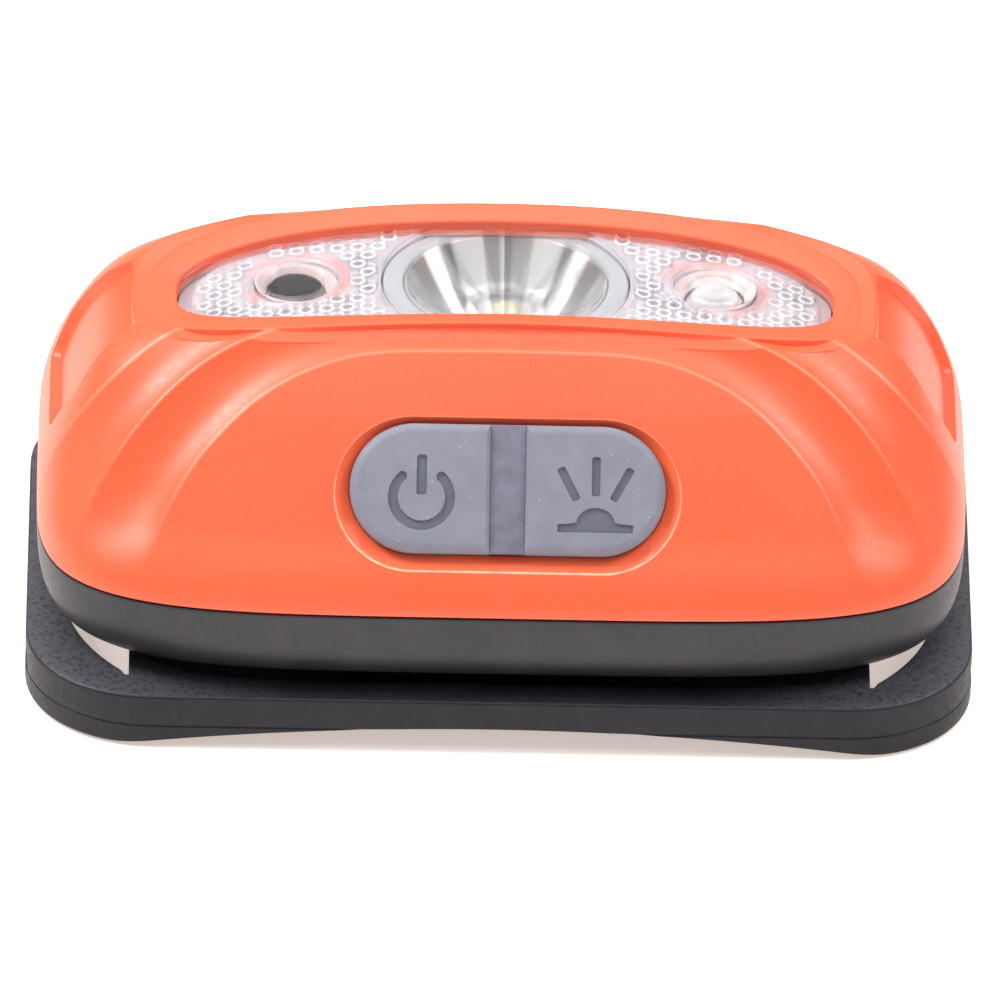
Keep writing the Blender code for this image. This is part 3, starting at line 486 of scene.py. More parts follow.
def plain(name, rgb, rough, metal=0.0, spread=0.15, bump=0.2, coat=0.0):
    n = Nodes(name)
    n.set(Metallic=metal)
    if coat:
        n.set(Coat_Weight=coat)
    lo = tuple(max(0, c * (1 - spread)) for c in rgb)
    hi = tuple(min(1, c * (1 + spread)) for c in rgb)
    n.color(n.mix(n.grey(n.noise(0.8 * K, 3.0), (0.35, 0.0), (0.7, 1.0)), lo, hi))
    n.rough(n.grey(n.noise(4.0 * K, 3.0, 0.6), (0.3, max(0.02, rough - 0.06)), (0.7, rough + 0.06)))
    if bump:
        n.bump(n.noise(8.0 * K, 2.0, 0.6), bump, 0.015)
    return n.m

ORANGE = orange_plastic()
COVER = cover_plastic()
BRACKET = bracket_plastic()
KEYS = silicone("grey_silicone")
ICON = silicone("grey_silicone_icon", dark=True)
GROOVE = plain("grey_silicone_groove", (0.165, 0.160, 0.212), 0.6)
CLEAR = clear_plastic()
INSERT = insert_plastic()
CHROME = metallised()
COLLAR = plain("collar_plastic", (0.90, 0.70, 0.69), 0.22, spread=0.12, bump=0.3, coat=0.3)
FLANGE = plain("ring_grey", (0.46, 0.46, 0.49), 0.42, spread=0.03, bump=0.1)
FRAME_GREY = plain("frame_grey", (0.62, 0.63, 0.64), 0.45)
GLOSS_BLACK = plain("sensor_gloss", (0.006, 0.006, 0.007), 0.22, bump=0.0)
GLOSS_BLACK.node_tree.nodes["Principled BSDF"].inputs["Specular IOR Level"].default_value = 0.14
LED_MAT = plain("led_phosphor", (0.88, 0.72, 0.20), 0.3, coat=0.5)
LED_CLEAR = plain("led_epoxy", (0.70, 0.69, 0.72), 0.16, spread=0.22, bump=0.9, coat=0.5)
STEEL = plain("plain_steel", (0.60, 0.60, 0.62), 0.28, metal=1.0)
RUBBER = plain("black_rubber", (0.028, 0.028, 0.030), 0.62)
PCB = plain("solder_mask", (0.02, 0.16, 0.08), 0.4)
FOIL = plain("battery_foil", (0.55, 0.57, 0.60), 0.33, metal=0.8)
RED = plain("lead_red", (0.5, 0.02, 0.02), 0.45)
DARK = plain("lead_black", (0.02, 0.02, 0.02), 0.45)
SWITCH = plain("switch_black", (0.03, 0.03, 0.03), 0.4)

# ------------------------------------------------------------------ front shell
NU = 880
NV = 124
END = [(30.45, SEAM_Z, 0.0), (30.38, 12.2, 0.18), (29.95, 14.3, 0.33), (29.15, 16.6, 0.48),
       (28.1, 18.8, 0.61), (26.8, 20.8, 0.735), (25.35, 22.05, 0.86), (24.2, 22.65, 0.94)]
BULGE, FOOT_BULGE = 0.6, 0.30
# Flute edges on the key side, as (|x|, height seen square to a 29.2 degree view).
VIEW_Z, VIEW_Y = 0.8729, 0.4879
CREASE_1 = [(0, 16.30), (4.0, 16.27), (7.5, 16.15), (10.6, 15.65), (13.7, 14.45), (16.5, 12.6), (18.2, 10.95), (19.6, 9.35), (21.1, 7.05), (22.3, 4.45), (23.2, 2.15), (24.0, -0.45), (24.6, -2.45)]
CREASE_2 = [(0, 18.4), (6.0, 18.35), (11.0, 18.15), (14.3, 17.75), (16.4, 17.05), (18.9, 15.75), (21.0, 14.15), (22.7, 12.45), (24.3, 10.5), (25.9, 7.95), (27.1, 5.25), (27.8, 2.45), (28.4, -0.45), (28.8, -2.45)]
CREASE_3 = [(17.0, 18.75), (19.9, 18.05), (21.9, 17.15), (23.6, 15.95), (25.7, 14.05), (27.6, 11.95), (29.2, 9.45), (30.2, 6.9), (31.0, 4.05), (31.6, -0.45), (32.0, -2.45)]

def dense_curve(pts, n=400):
    return spline(pts, n)

def distance_to(curve, q):
    """Distance and side of points q from a 2-D curve: positive outside it."""
    best = np.full(len(q), 1e9)
    side = np.zeros(len(q))
    a, b = curve[:-1], curve[1:]
    for k in range(len(a)):
        d = b[k] - a[k]
        w = q - a[k]
        t = np.clip((w @ d) / (d @ d), 0, 1)
        g = w - t[:, None] * d
        r = np.hypot(g[:, 0], g[:, 1])
        m = r < best
        best[m] = r[m]
        side[m] = np.sign(d[0] * w[m, 1] - d[1] * w[m, 0])
    return best * np.where(side >= 0, 1, -1)

def shell_rings():
    rows = []
    for a, z, f in END:
        bulge = BULGE * 4 * f * (1 - f)
        rows.append((a, z, SEAM_B - RUN * f - OUT[1] * bulge, SEAM_Z + RISE * f + OUT[2] * bulge, N_BODY + (N_TOP - N_BODY) * f))
    rows = spline(rows, NV)
    # the long sides turn upright just above the seam
    t = np.clip((rows[:, 3] - SEAM_Z) / RISE / 0.30, 0, 1)
    foot = FOOT_BULGE * 6.75 * t * (1 - t) ** 2
    rows[:, 2] -= OUT[1] * foot
    rows[:, 3] += OUT[2] * foot
    tau = tau_samples(NU, SEAM_A, SEAM_B, N_BODY)
    outer = np.stack([ring(tau, a, b, n, ze, zs) for a, ze, b, zs, n in rows])
    # band from the last level up to the lip's outer edge
    edge = domed_ring(tau, LIP_A, LIP_B, N_LIP, LIP_Z)
    edge[:, 2] -= 0.03 + 0.17 * smooth01(1.6 - np.abs(edge[:, 0]) / 13.0)
    top = np.stack([outer[-1] * (1 - t) + edge * t for t in np.linspace(0, 1, 9)[1:]])
    return tau, np.concatenate([outer, top]), rows

tau, grid, rows = shell_rings()
g = grid
du = np.roll(g, -1, 1) - np.roll(g, 1, 1)
dv = np.gradient(g, axis=0)
nrm = np.cross(du, dv)
nrm /= np.linalg.norm(nrm, axis=2, keepdims=True)
flat = g.reshape(-1, 3)
q = np.stack([np.abs(flat[:, 0]), VIEW_Z * flat[:, 2] - VIEW_Y * np.abs(flat[:, 1])], 1)
c1, c2, c3 = (dense_curve(c, 160) for c in (CREASE_1, CREASE_2, CREASE_3))
d1, d2, d3 = distance_to(c1, q), distance_to(c2, q), distance_to(c3, q)
# the flutes fade out above the seam and where the lip begins
height = flat[:, 2] - SEAM_Z
fade = smooth01((height - 0.6) / 5.5)
def flute(inner, outer, depth):
    w = inner / np.maximum(inner - outer, 1e-6)
    inside = (inner > 0) & (outer < 0)
    width = np.clip(inner - outer, 0, 6.0)
    return np.where(inside, 4 * w * (1 - w) * depth * width, 0.0)
far_side = smooth01((flat[:, 1] + 2.0) / 6.0)
sink = (flute(d1, d2, 0.17) + flute(d2, d3, 0.15)) * (1 - 0.75 * far_side)
# painted highlight: how strongly the crease lines are painted pale, more high up and only on the key side
painted_light = smooth01((height - 4.0) / 7.0) * (1 - far_side)
edge_lines = [np.clip(d, -1, 1) + 2.0 for d in (d1, d2, d3)]
# grip pocket in each end, set out on (distance along the end profile, y)
prof = np.stack([rows[:, 0], rows[:, 1]], 1)
s_end = np.concatenate([[0], np.cumsum(np.hypot(np.diff(prof[:, 0]), np.diff(prof[:, 1])))])
s_grid = np.concatenate([s_end, s_end[-1] + np.linspace(0, 1, 9)[1:] * 0.9])
def s_at_x(x, z):
    return float(s_end[np.argmin(np.hypot(prof[:, 0] - x, prof[:, 1] - z))])
s_top, s_wide, s_tip = s_at_x(24.4, 22.55), s_at_x(28.4, 18.2), s_at_x(29.75, 15.0)
poly = np.array([(s_top, -4.4), (s_top, 4.4), (s_wide, 6.1), (s_tip, 4.9), (s_tip, -4.9), (s_wide, -6.1)])
def inside_distance(poly, p):
    """Signed distance to a convex polygon's edges, positive inside, with soft corners."""
    c = poly.mean(0)
    parts = []
    for k in range(len(poly)):
        a, b = poly[k], poly[(k + 1) % len(poly)]
        d = (b - a) / np.linalg.norm(b - a)
        nn = np.array([-d[1], d[0]])
        if (c - a) @ nn < 0:
            nn = -nn
        parts.append((p - a) @ nn)
    parts = np.stack(parts)
    kk = 5.0
    return -np.log(np.exp(-kk * np.clip(parts, -4, 8)).sum(0)) / kk
sy = np.stack([np.repeat(s_grid, NU), flat[:, 1]], 1)
dist = inside_distance(poly, sy)
pocket = 0.62 * smooth01(dist / 0.38) * (np.abs(flat[:, 0]) > 20)
disp = -(sink * fade) - pocket
g = (flat + nrm.reshape(-1, 3) * disp[:, None]).reshape(grid.shape)

def lip_ring(a_in, b_in, n, z):
    return domed_ring(tau, a_in, b_in, n, z)
lip_path = fillet([(0.0, -0.2), (0.08, -0.02), (1.8, -LIP_FALL), (1.8, -1.42)], [0.2, 0.24], 6)
lip = []
for t, dz in lip_path[1:]:
    w = min(t / 1.8, 1.0)
    r = lip_ring(LIP_A - (LIP_A - WIN_A) * w, LIP_B - (LIP_B - WIN_B) * w, N_LIP + (N_WIN - N_LIP) * w, LIP_Z + dz)
    if t < 0.3:   # no step at the two ends, where the lip runs straight on into the shoulder
        r[:, 2] += np.maximum(0.0, -0.03 - 0.17 * smooth01(1.6 - np.abs(r[:, 0]) / 13.0) - dz)
    lip.append(r)
inner = []
for a, z, f in [(22.9, 21.2, 0.0), (24.6, 20.4, 0.10), (26.0, 19.0, 0.24), (27.0, 17.2, 0.40), (27.9, 15.1, 0.58), (28.6, 13.1, 0.76), (28.85, SEAM_Z, 1.0)]:
    inner.append(ring(tau, a, 7.8 + (17.7 - 7.8) * f, N_TOP + (N_BODY - N_TOP) * f, z, 23.95 + (SEAM_Z - 23.95) * f))
foot = [ring(tau, SEAM_A - 0.14, SEAM_B - 0.14, N_BODY, SEAM_Z - 0.23, SEAM_Z - 0.23), ring(tau, SEAM_A - 0.03, SEAM_B - 0.03, N_BODY, SEAM_Z - 0.18, SEAM_Z - 0.18)]
g[0][:, 2] = SEAM_Z - 0.08
shell_v, shell_f = loft(foot + list(g) + lip + inner, closed=True)
shell = new_object("visual_front_shell", shell_v, shell_f, [ORANGE], smooth=None, tidy=False)
for name, field in (("edge_1", edge_lines[0]), ("edge_2", edge_lines[1]), ("edge_3", edge_lines[2]), ("painted_light", painted_light)):
    values = np.zeros(len(shell_v), np.float32)
    values[2 * NU:2 * NU + len(field)] = field
    shell.data.attributes.new(name, "FLOAT", "POINT").data.foreach_set("value", values)
bm = bmesh.new(); bm.from_mesh(shell.data); bmesh.ops.recalc_face_normals(bm, faces=bm.faces); bm.to_mesh(shell.data); bm.free()

# the keys' opening: a rounded rim, a sloped funnel, then a straight hole
low, high = stadium(KEY_W + 0.06, KEY_H + 0.06, 40, 30), stadium(22.5, 10.1, 40, 30) + np.array([0, -0.36])
funnel = []
for h, t, grow in [(-4.2, 0, 0), (0.14, 0, 0), (0.18, 0.04, 0), (0.24, 0.12, 0), (0.70, 0.90, 0), (0.76, 0.965, 0), (0.81, 1, 0.0), (0.85, 1, 0.04), (0.90, 1, 0.12), (0.97, 1, 0.3), (3.0, 1, 6)]:
    funnel.append(np.concatenate([offset(low * (1 - t) + high * t, -grow), np.full((len(low), 1), h)], 1))
cuts = []
v, f = loft(funnel); cuts.append((on_facet(v), f))
pk = stadium(FLAP_W + 0.8, FLAP_H + 0.8, 24, 20) + np.array([0, PORT_UP])
v, f = loft(levels(pk, [(-0.75, 0), (0.15, 0.0), (0.35, -0.1), (0.5, -0.3), (3.0, -2.0)])); cuts.append((on_facet(v, far=True), f))
slot2 = stadium(9.8, 3.7, 16, 8)
cuts.append(loft([np.stack([slot2[:, 0], np.full(len(slot2), y), slot2[:, 1] + PORT_Z - 0.1], 1) for y in (10.0, 15.9)]))
for c in cuts:
    apply_boolean(shell, c)
finish_smooth(shell, 38.0)
ride(shell, "housing", "shell_orange", "front_shell")

# ------------------------------------------------------------------ keypad: two keys and the web between them
def facet_loft(rings):
    v, f = loft(rings)
    return on_facet(v), f

def key_half(w, h, cut, arc=40):
    r, c, e = h / 2, w / 2 - h / 2, 0.75
    corner = [(-cut - e + e * math.sin(a), -r + e - e * math.cos(a)) for a in np.linspace(0, math.pi / 2, 7)]
    pts = [(x, -r) for x in np.linspace(-c, -cut - e, 12)[1:-1]] + corner
    pts += [(-cut, y) for y in np.linspace(-r + e, r - e, 14)[1:-1]]
    pts += [(x, -y) for x, y in reversed(corner)]
    pts += [(x, r) for x in np.linspace(-cut - e, -c, 12)[1:-1]]
    pts += [(-c - r * math.sin(a), r * math.cos(a)) for a in np.linspace(0, math.pi, arc + 1)]
    return np.array(pts)

def bar2d(p, q, w):
    """A straight bar with softly rounded ends from p to q, as an anticlockwise outline."""
    p, q = np.array(p, float), np.array(q, float)
    d = (q - p) / np.linalg.norm(q - p)
    n = np.array([-d[1], d[0]])
    pts = []
    for c, s in ((q, 1), (p, -1)):
        for a in np.linspace(-math.pi / 2, math.pi / 2, 7):
            k = (abs(math.cos(a)) ** 0.6) * 0.30
            pts.append(c + s * d * (k - 0.30) * w + s * n * math.sin(a) * w / 2)
    return np.array(pts)

def arc2d(c, r0, r1, a0, a1, n=56):
    """A ring sector with rounded ends, as an anticlockwise outline."""
    pts = [(c[0] + r1 * math.cos(a), c[1] + r1 * math.sin(a)) for a in np.linspace(a0, a1, n)]
    m, h = (r0 + r1) / 2, (r1 - r0) / 2
    e = np.array([c[0] + m * math.cos(a1), c[1] + m * math.sin(a1)])
    pts += [tuple(e + h * np.array([math.cos(a1 + t), math.sin(a1 + t)])) for t in np.linspace(0, math.pi, 9)[1:-1]]
    pts += [(c[0] + r0 * math.cos(a), c[1] + r0 * math.sin(a)) for a in np.linspace(a1, a0, n)]
    e = np.array([c[0] + m * math.cos(a0), c[1] + m * math.sin(a0)])
    pts += [tuple(e + h * np.array([math.cos(a0 + t), math.sin(a0 + t)])) for t in np.linspace(math.pi, 2 * math.pi, 9)[1:-1]]
    return np.array(pts)

ICON_DEEP = 0.16
def icon_cutter(o, top):
    return facet_loft(levels(o, [(top - ICON_DEEP, 0.045), (top - ICON_DEEP + 0.05, 0.0), (top - 0.03, -0.01), (top + 0.02, -0.06), (top + 0.5, -0.3)]))

key_prof = fillet([(-3.0, 0.0), (KEY_PROUD, 0.0), (KEY_PROUD, 1.9)], 0.66, 9)[:-1]
pad = stadium(KEY_W, KEY_H, 48, 40)
for s, side in ((-1, "power"), (1, "sensor")):
    key = new_object("visual_%s_key" % side, *facet_loft(levels(pad, key_prof)), [KEYS, ICON], smooth=30)
    wedge = [(-14 * s, h) for h in (-5.0, 3.0)] + [(1.25 * s + 0.6 * s, 3.0), (1.42 * s, 1.36), (1.22 * s, 1.16), (1.15 * s, 1.0), (1.15 * s, -5.0)]
    apply_boolean(key, facet_loft([[(x, y, h) for x, h in wedge] for y in (-8.0, 8.0)]))
    top = KEY_PROUD
    if s < 0:
        c = (-5.61, -0.52)
        icons = [arc2d(c, 1.55, 2.17, math.radians(90 + 43), math.radians(360 + 90 - 43)), bar2d((c[0], c[1] + 0.15), (c[0], c[1] + 2.78), 0.64)]
    else:
        m = 5.74
        dome = [(m + 1.24 * math.cos(a), -2.06 + 1.02 * math.sin(a)) for a in np.linspace(0.08, math.pi - 0.08, 25)]
        base = [(m - 1.55, -2.08), (m - 2.42, -2.14), (m - 2.46, -2.18), (m - 2.46, -2.62), (m - 2.42, -2.66), (m + 2.42, -2.66), (m + 2.46, -2.62), (m + 2.46, -2.18), (m + 2.42, -2.14), (m + 1.55, -2.08)]
        icons = [bar2d((m, -0.28), (m, 2.30), 0.53), bar2d((m - 1.22, -0.56), (m - 2.33, 1.56), 0.53), bar2d((m + 1.12, -0.56), (m + 2.28, 1.56), 0.53),
                 np.array(base + dome)]
    for ic in icons:
        apply_boolean(key, icon_cutter(np.asarray(ic) + np.array([0.0, -0.13]), top))
    # the sunk floors and walls of the icons take the darker silicone
    me = key.data
    n_face = len(me.polygons)
    cen = np.zeros(n_face * 3); me.polygons.foreach_get("center", cen)
    cen = cen.reshape(-1, 3) * 1000 - KEY_C
    out_c, up_c, x_c = cen @ OUT, cen @ UP, cen[:, 0]
    near = (out_c < top - 0.055) & (out_c > top - ICON_DEEP - 0.05) & (np.hypot(np.maximum(np.abs(x_c) - (KEY_W - KEY_H) / 2, 0), up_c) < 3.2) & (np.abs(x_c) > 2.2)
    me.polygons.foreach_set("material_index", near.astype(np.int32))
    finish_smooth(key, 30)
    ride(key, side + "_button", "key_silicone", side + "_key")

web = new_object("visual_keypad_web", *facet_loft(levels(stadium(25.4, 11.6, 30, 20), [(-2.65, 0), (-1.75, 0)])), [GROOVE])
bridge = []
for h, i in ((-2.3, 0.0), (0.98, 0.0), (1.01, 0.01), (1.02, 0.04)):
    xs, ys = 1.142 - i, KEY_H / 2 - 0.03 - i * 2
    bridge.append([(-xs, -ys, h), (xs, -ys, h), (xs, ys, h), (-xs, ys, h)])
apply_boolean(web, facet_loft(bridge), "UNION")
for s in (-1, 1):
    o = key_half(KEY_W, KEY_H, 1.15)
    if s > 0:
        o = o[::-1] * np.array([-1, 1])
    apply_boolean(web, facet_loft(levels(o, [(-5, -0.22), (-1.2, -0.22)])))
finish_smooth(web, 30)
ride(web, "housing", "key_silicone", "keypad_web")

# ------------------------------------------------------------------ lens, inserts and optics
def domed_patch(a, b, n, z0, z1, nx, ny, height=None, edge=0.0):
    """A closed plate between two domed faces. height(x, y) is added to its top."""
    xs = a * np.sin(np.linspace(-math.pi / 2, math.pi / 2, nx + 2))[1:-1]
    half = b * (1 - np.abs(xs / a) ** n) ** (1 / n)
    ys = np.linspace(-1, 1, ny)
    X = np.repeat(xs[:, None], ny, 1)
    Y = half[:, None] * ys[None, :]
    top = z1 - fall(X)
    if height is not None:
        top = top + height(X, Y)
    bottom = z0 - fall(X)
    up = np.stack([X, Y, top], -1)
    dn = np.stack([X, Y, bottom], -1)
    rings = [np.concatenate([up[i], dn[i][::-1]]) for i in range(nx)]
    return loft(rings)

lens = new_object("visual_lens_cover", *domed_patch(WIN_A - 0.12, WIN_B - 0.12, N_WIN, 24.56, 24.92, 200, 60), [CLEAR], smooth=50)
ride(lens, "housing", "clear_lens", "lens_cover")

PITCH = 1.34
def insert_field(s):
    def h(X, Y):
        """Height, pit and frame masks of an insert: ring dimples in a hexagonal pack that stop short of the hole,
        the reflector's ring and the plain rim at the insert's end."""
        row = PITCH * math.sqrt(3) / 2
        total, pit, loop, web = (np.zeros_like(X) for _ in range(4))
        x0, y0 = s * SENSOR_X, SENSOR_Y
        j = np.round((Y - y0 + 0.45) / row)
        for dj in (-1, 0, 1):
            jj = j + dj
            off = (np.mod(jj, 2)) * 0.5 * PITCH
            cx = np.round((X - x0 - off) / PITCH) * PITCH + x0 + off
            cy = jj * row + y0 - 0.45
            r = np.hypot(X - cx, Y - cy)
            level = (np.abs(cx) / 20.0) ** 2.9 + (np.abs(cy) / 6.1) ** 2.9
            ok = (np.hypot(cx, cy) > RING_R + 0.95) & (np.hypot(cx - x0, cy - y0) > 3.85) & (level < 1)
            crest = np.exp(-((r - 0.44) / 0.10) ** 2)
            core = np.exp(-(r / 0.25) ** 2)
            total = np.where(ok & (r < 0.67), total + 0.18 * crest - 0.26 * core, total)
            pit = np.where(ok & (r < 0.67), np.maximum(pit, core), pit)
            loop = np.where(ok & (r < 0.67), np.maximum(loop, crest), loop)
            web = np.where(ok & (r < 0.80), 1.0, web)
        rim = np.abs(np.hypot(X, Y) - (RING_R + 0.45))
        total += 0.16 * np.exp(-(rim / 0.26) ** 2)
        hole = np.hypot(X - x0, Y - y0)
        total += 0.15 * np.exp(-((hole - 3.0) / 0.2) ** 2) + 0.08 * np.exp(-((hole - 3.55) / 0.14) ** 2)
        level = (np.abs(X) / 20.4) ** 2.9 + (np.abs(Y) / 7.0) ** 2.9
        frame_zone = smooth01((level - 1.0) / 0.05)
        blush = np.exp(-((hole - 3.3) / 0.45) ** 2)
        return total * (1 - frame_zone) - 0.25 * frame_zone, pit, frame_zone, blush, loop, web
    return h

for s, side in ((-1, "left"), (1, "right")):
    nx, ny = ((360, 250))
    a, b, n = WIN_A - 0.07, WIN_B - 0.07, N_WIN
    xs = np.linspace(5.4, a - 0.04, nx) * s
    half = b * (1 - np.abs(xs / a) ** n) ** (1 / n)
    ys = np.linspace(-1, 1, ny)
    X = np.repeat(xs[:, None], ny, 1); Y = half[:, None] * ys[None, :]
    h, pit, zone, blush, loop, web_mask = insert_field(s)(X, Y)
    up = np.stack([X, Y, 24.05 - fall(X) + h], -1)
    dn = np.stack([X, Y, 23.3 - fall(X)], -1)
    plate = new_object("visual_%s_insert" % side, *loft([np.concatenate([up[i], dn[i][::-1]]) for i in range(nx)]), [INSERT], smooth=None, tidy=False)
    for name, field in (("pit", pit), ("plain_rim", zone), ("blush", blush), ("loop", loop), ("between", web_mask)):
        at = plate.data.attributes.new(name, "FLOAT", "POINT")
        at.data.foreach_set("value", np.concatenate([field, np.zeros_like(field)], 1).astype(np.float32).ravel())
    bm = bmesh.new(); bm.from_mesh(plate.data); bmesh.ops.recalc_face_normals(bm, faces=bm.faces); bm.to_mesh(plate.data); bm.free()
    apply_boolean(plate, turned([(0, 18), (RING_R + 0.07, 18), (RING_R + 0.07, 28), (0, 28)], segments=160))
    apply_boolean(plate, turned([(0, 18), (2.72, 18), (2.72, 28), (0, 28)], (s * SENSOR_X, SENSOR_Y, 0), 96))
    finish_smooth(plate, 60)
    ride(plate, "housing", "textured_lens", side + "_insert")
    # the hole's sloping collar
    z = 24.05 - fall(SENSOR_X)
    collar = new_object("visual_%s_collar" % side, *turned([(2.70, z + 0.02), (2.62, z + 0.04), (1.98, z - 0.62), (1.98, z - 0.72), (2.10, z - 0.74), (2.70, z - 0.12)], (s * SENSOR_X, SENSOR_Y, 0), 96), [COLLAR], smooth=30)
    ride(collar, "housing", "textured_lens")

cup = [(2.25 + (6.42 - 2.25) * u ** 0.62, 18.9 + (23.72 - 18.9) * u) for u in np.linspace(0, 1, 48)]
back = [(2.25 + (6.4 - 2.25) * u ** 0.62 + 0.75, 18.9 + (23.65 - 18.9) * u - 0.25) for u in np.linspace(0.88, 0.08, 20)]
bowl = new_object("visual_reflector", *turned(cup + [(6.46, 23.79), (6.52, 23.82), (6.62, 23.83), (6.66, 23.72), (6.66, 23.15)] + back + [(3.0, 18.9)], segments=200), [CHROME], smooth=30)
flange = new_object("visual_reflector_ring", *turned(fillet([(6.70, 23.15), (6.70, 23.80), (8.05, 23.80), (8.05, 23.15)], 0.14, 5), segments=200), [FLANGE], smooth=30)
for ob in (bowl, flange):
    for s in (-1, 1):
        apply_boolean(ob, box(-12, 12, min(s * 6.95, s * 12), max(s * 6.95, s * 12), 17, 26))
    finish_smooth(ob, 30)
ride(bowl, "housing", "reflector_silver", "reflector")
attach(flange, "housing")

# emitter on its small round board
emitter = new_object("visual_main_led", *join([
    box(-1.7, 1.7, -1.7, 1.7, 18.0, 18.45),
]), [FRAME_GREY])
emitter_bevel = emitter.modifiers.new("edge", "BEVEL"); emitter_bevel.width = 0.08 * MM; emitter_bevel.segments = 2
bake(emitter); finish_smooth(emitter, 30)
ride(emitter, "housing", "frame_grey")
dome = new_object("visual_led_dome", *turned([(0, 18.47), (1.15, 18.47)] + [(1.15 * math.cos(a), 18.55 + 1.25 * math.sin(a)) for a in np.linspace(0, math.pi / 2, 20)[:-1]] + [(0, 19.8)], segments=64), [LED_MAT], smooth=30)
ride(dome, "housing", "led_phosphor", "main_led")

# motion sensor: a glossy black dome on a round can, seen through the left insert's hole
dome_pts = [(1.74 * math.cos(a), 22.85 + 0.56 * math.sin(a)) for a in np.linspace(0, math.pi / 2, 28)[:-1]]
sensor = new_object("visual_motion_sensor", *turned([(0, 16.9), (1.74, 16.9)] + dome_pts + [(0, 23.41)], (-SENSOR_X, SENSOR_Y, 0), 96), [GLOSS_BLACK], smooth=30)
ride(sensor, "housing", "sensor_black", "motion_sensor")
# small round-topped light on the right
led_pts = [(1.6 * math.cos(a), 22.58 + 0.80 * math.sin(a)) for a in np.linspace(0, math.pi / 2, 24)[:-1]]
side_led = new_object("visual_side_led", *turned([(0, 16.9), (1.85, 16.9), (1.85, 22.3), (1.78, 22.4), (1.6, 22.42)] + led_pts + [(0, 23.38)], (SENSOR_X, SENSOR_Y, 0), 80), [LED_CLEAR], smooth=30)
ride(side_led, "housing", "led_phosphor", "side_led")

# ------------------------------------------------------------------ rear cover
NR = 420
tau_r = tau_samples(NR, SEAM_A, SEAM_B, N_BODY)
wall = spline([(30.45, 9.3, 19.6), (30.43, 8.2, 19.58), (30.17, 6.5, 19.32), (29.5, 5.3, 18.75), (28.6, 4.62, 18.0), (27.5, 4.3, 17.1)], 26)
oc = [flat_ring(tau_r, 30.33, 19.48, N_BODY, 9.55), flat_ring(tau_r, 30.42, 19.57, N_BODY, 9.52), flat_ring(tau_r, 30.45, 19.6, N_BODY, 9.45)]
oc += [flat_ring(tau_r, a, b, N_BODY, z) for a, z, b in wall]
ic = [flat_ring(tau_r, a, b, N_BODY, z) for a, b, z in [(24.8, 14.0, 5.9), (26.3, 15.6, 6.3), (27.2, 16.4, 7.4), (27.3, 16.5, 8.5), (28.6, 17.7, 8.5), (28.6, 17.7, 9.55)]]
stack = oc + ic
verts = np.concatenate(stack)
faces = []
def band(i, j):
    for k in range(NR):
        faces.append((i * NR + k, i * NR + (k + 1) % NR, j * NR + (k + 1) % NR, j * NR + k))
for i in range(len(oc) - 1):
    band(i, i + 1)
for i in range(len(oc), len(stack) - 1):
    band(i, i + 1)
band(len(stack) - 1, 0)
faces.append(tuple((len(oc) - 1) * NR + k for k in range(NR)))
faces.append(tuple(len(oc) * NR + k for k in range(NR - 1, -1, -1)))
rear = new_object("visual_rear_cover", verts, faces, [COVER], smooth=35)
for s in (-1, 1):
    x0, x1 = sorted((s * (EAR_X0 - 0.35), s * (EAR_X1 + 0.35)))
    apply_boolean(rear, box(x0 - 1.2, x1 + 1.2, HINGE_Y - 3.4, HINGE_Y - 0.5, 5.0, HINGE_Z + 3.3), "UNION")
    apply_boolean(rear, box(x0, x1, HINGE_Y - 2.2, 22, 3.6, HINGE_Z + 2.2))
hb = EAR_X0 - 0.35
apply_boolean(rear, turned(fillet([(0, -hb), (1.85, -hb), (1.85, hb), (0, hb)], 0.15, 3), (0, HINGE_Y, HINGE_Z), 64, "X"), "UNION")
apply_boolean(rear, turned([(0, -14.5), (PIN_R + 0.32, -14.5), (PIN_R + 0.32, 14.5), (0, 14.5)], (0, HINGE_Y, HINGE_Z), 48, "X"))
for sx, sy in ((-1, -1), (1, -1), (1, 1), (-1, 1)):
    x, y = sx * SCREW_X, sy * SCREW_Y
    apply_boolean(rear, turned([(0, 5.1), (2.75, 5.1), (2.75, 8.65), (0, 8.65)], (x, y, 0), 48), "UNION")
    apply_boolean(rear, turned([(0, 3.0), (2.25, 3.0), (2.25, 4.35), (2.0, 4.6), (2.0, 6.75), (1.2, 6.75), (1.2, 9.2), (0, 9.2)], (x, y, 0), 64))
finish_smooth(rear, 35)
ride(rear, "housing", "cover_black", "rear_cover")

# ------------------------------------------------------------------ bracket
def bracket_rim(steps):
    cx, cy = 22.4, 11.0
    corner = []
    for k in range(steps + 1):
        a = math.radians(90 * k / steps)
        corner.append((cx + (BR_A - cx) * math.cos(a) ** (2 / 2.15), cy + (BR_B - cy) * math.sin(a) ** (2 / 2.15)))
    pts = corner + [(-x, y) for x, y in reversed(corner)] + [(-x, -y) for x, y in corner] + [(x, -y) for x, y in reversed(corner)]
    p = np.array(pts + [pts[0]])
    s = np.concatenate([[0], np.cumsum(np.hypot(*np.diff(p, axis=0).T))])
    keep = np.concatenate([[True], np.diff(s) > 1e-9])
    u = np.linspace(0, s[-1], 361)[:-1]
    return np.stack([np.interp(u, s[keep], p[keep, 0]), np.interp(u, s[keep], p[keep, 1])], 1)
rim = bracket_rim(48)
side_prof = fillet([(0.0, 0.7), (0.0, 0.0), (1.42, 0.0), (1.50, 0.07), (1.58, 0.0), (BR_T, 0.0), (BR_T, 0.9)], [0.5, 0.02, 0.02, 0.02, 0.22], 6)
br = new_object("visual_bracket", *loft(levels(rim, side_prof)), [BRACKET, COVER], smooth=35)
arch = [(x, ARCH * (1 - (x / FOOT_X) ** 2)) for x in np.linspace(-FOOT_X, FOOT_X, 81)]
prof_a = np.array(arch + [(FOOT_X, -2.0), (-FOOT_X, -2.0)])
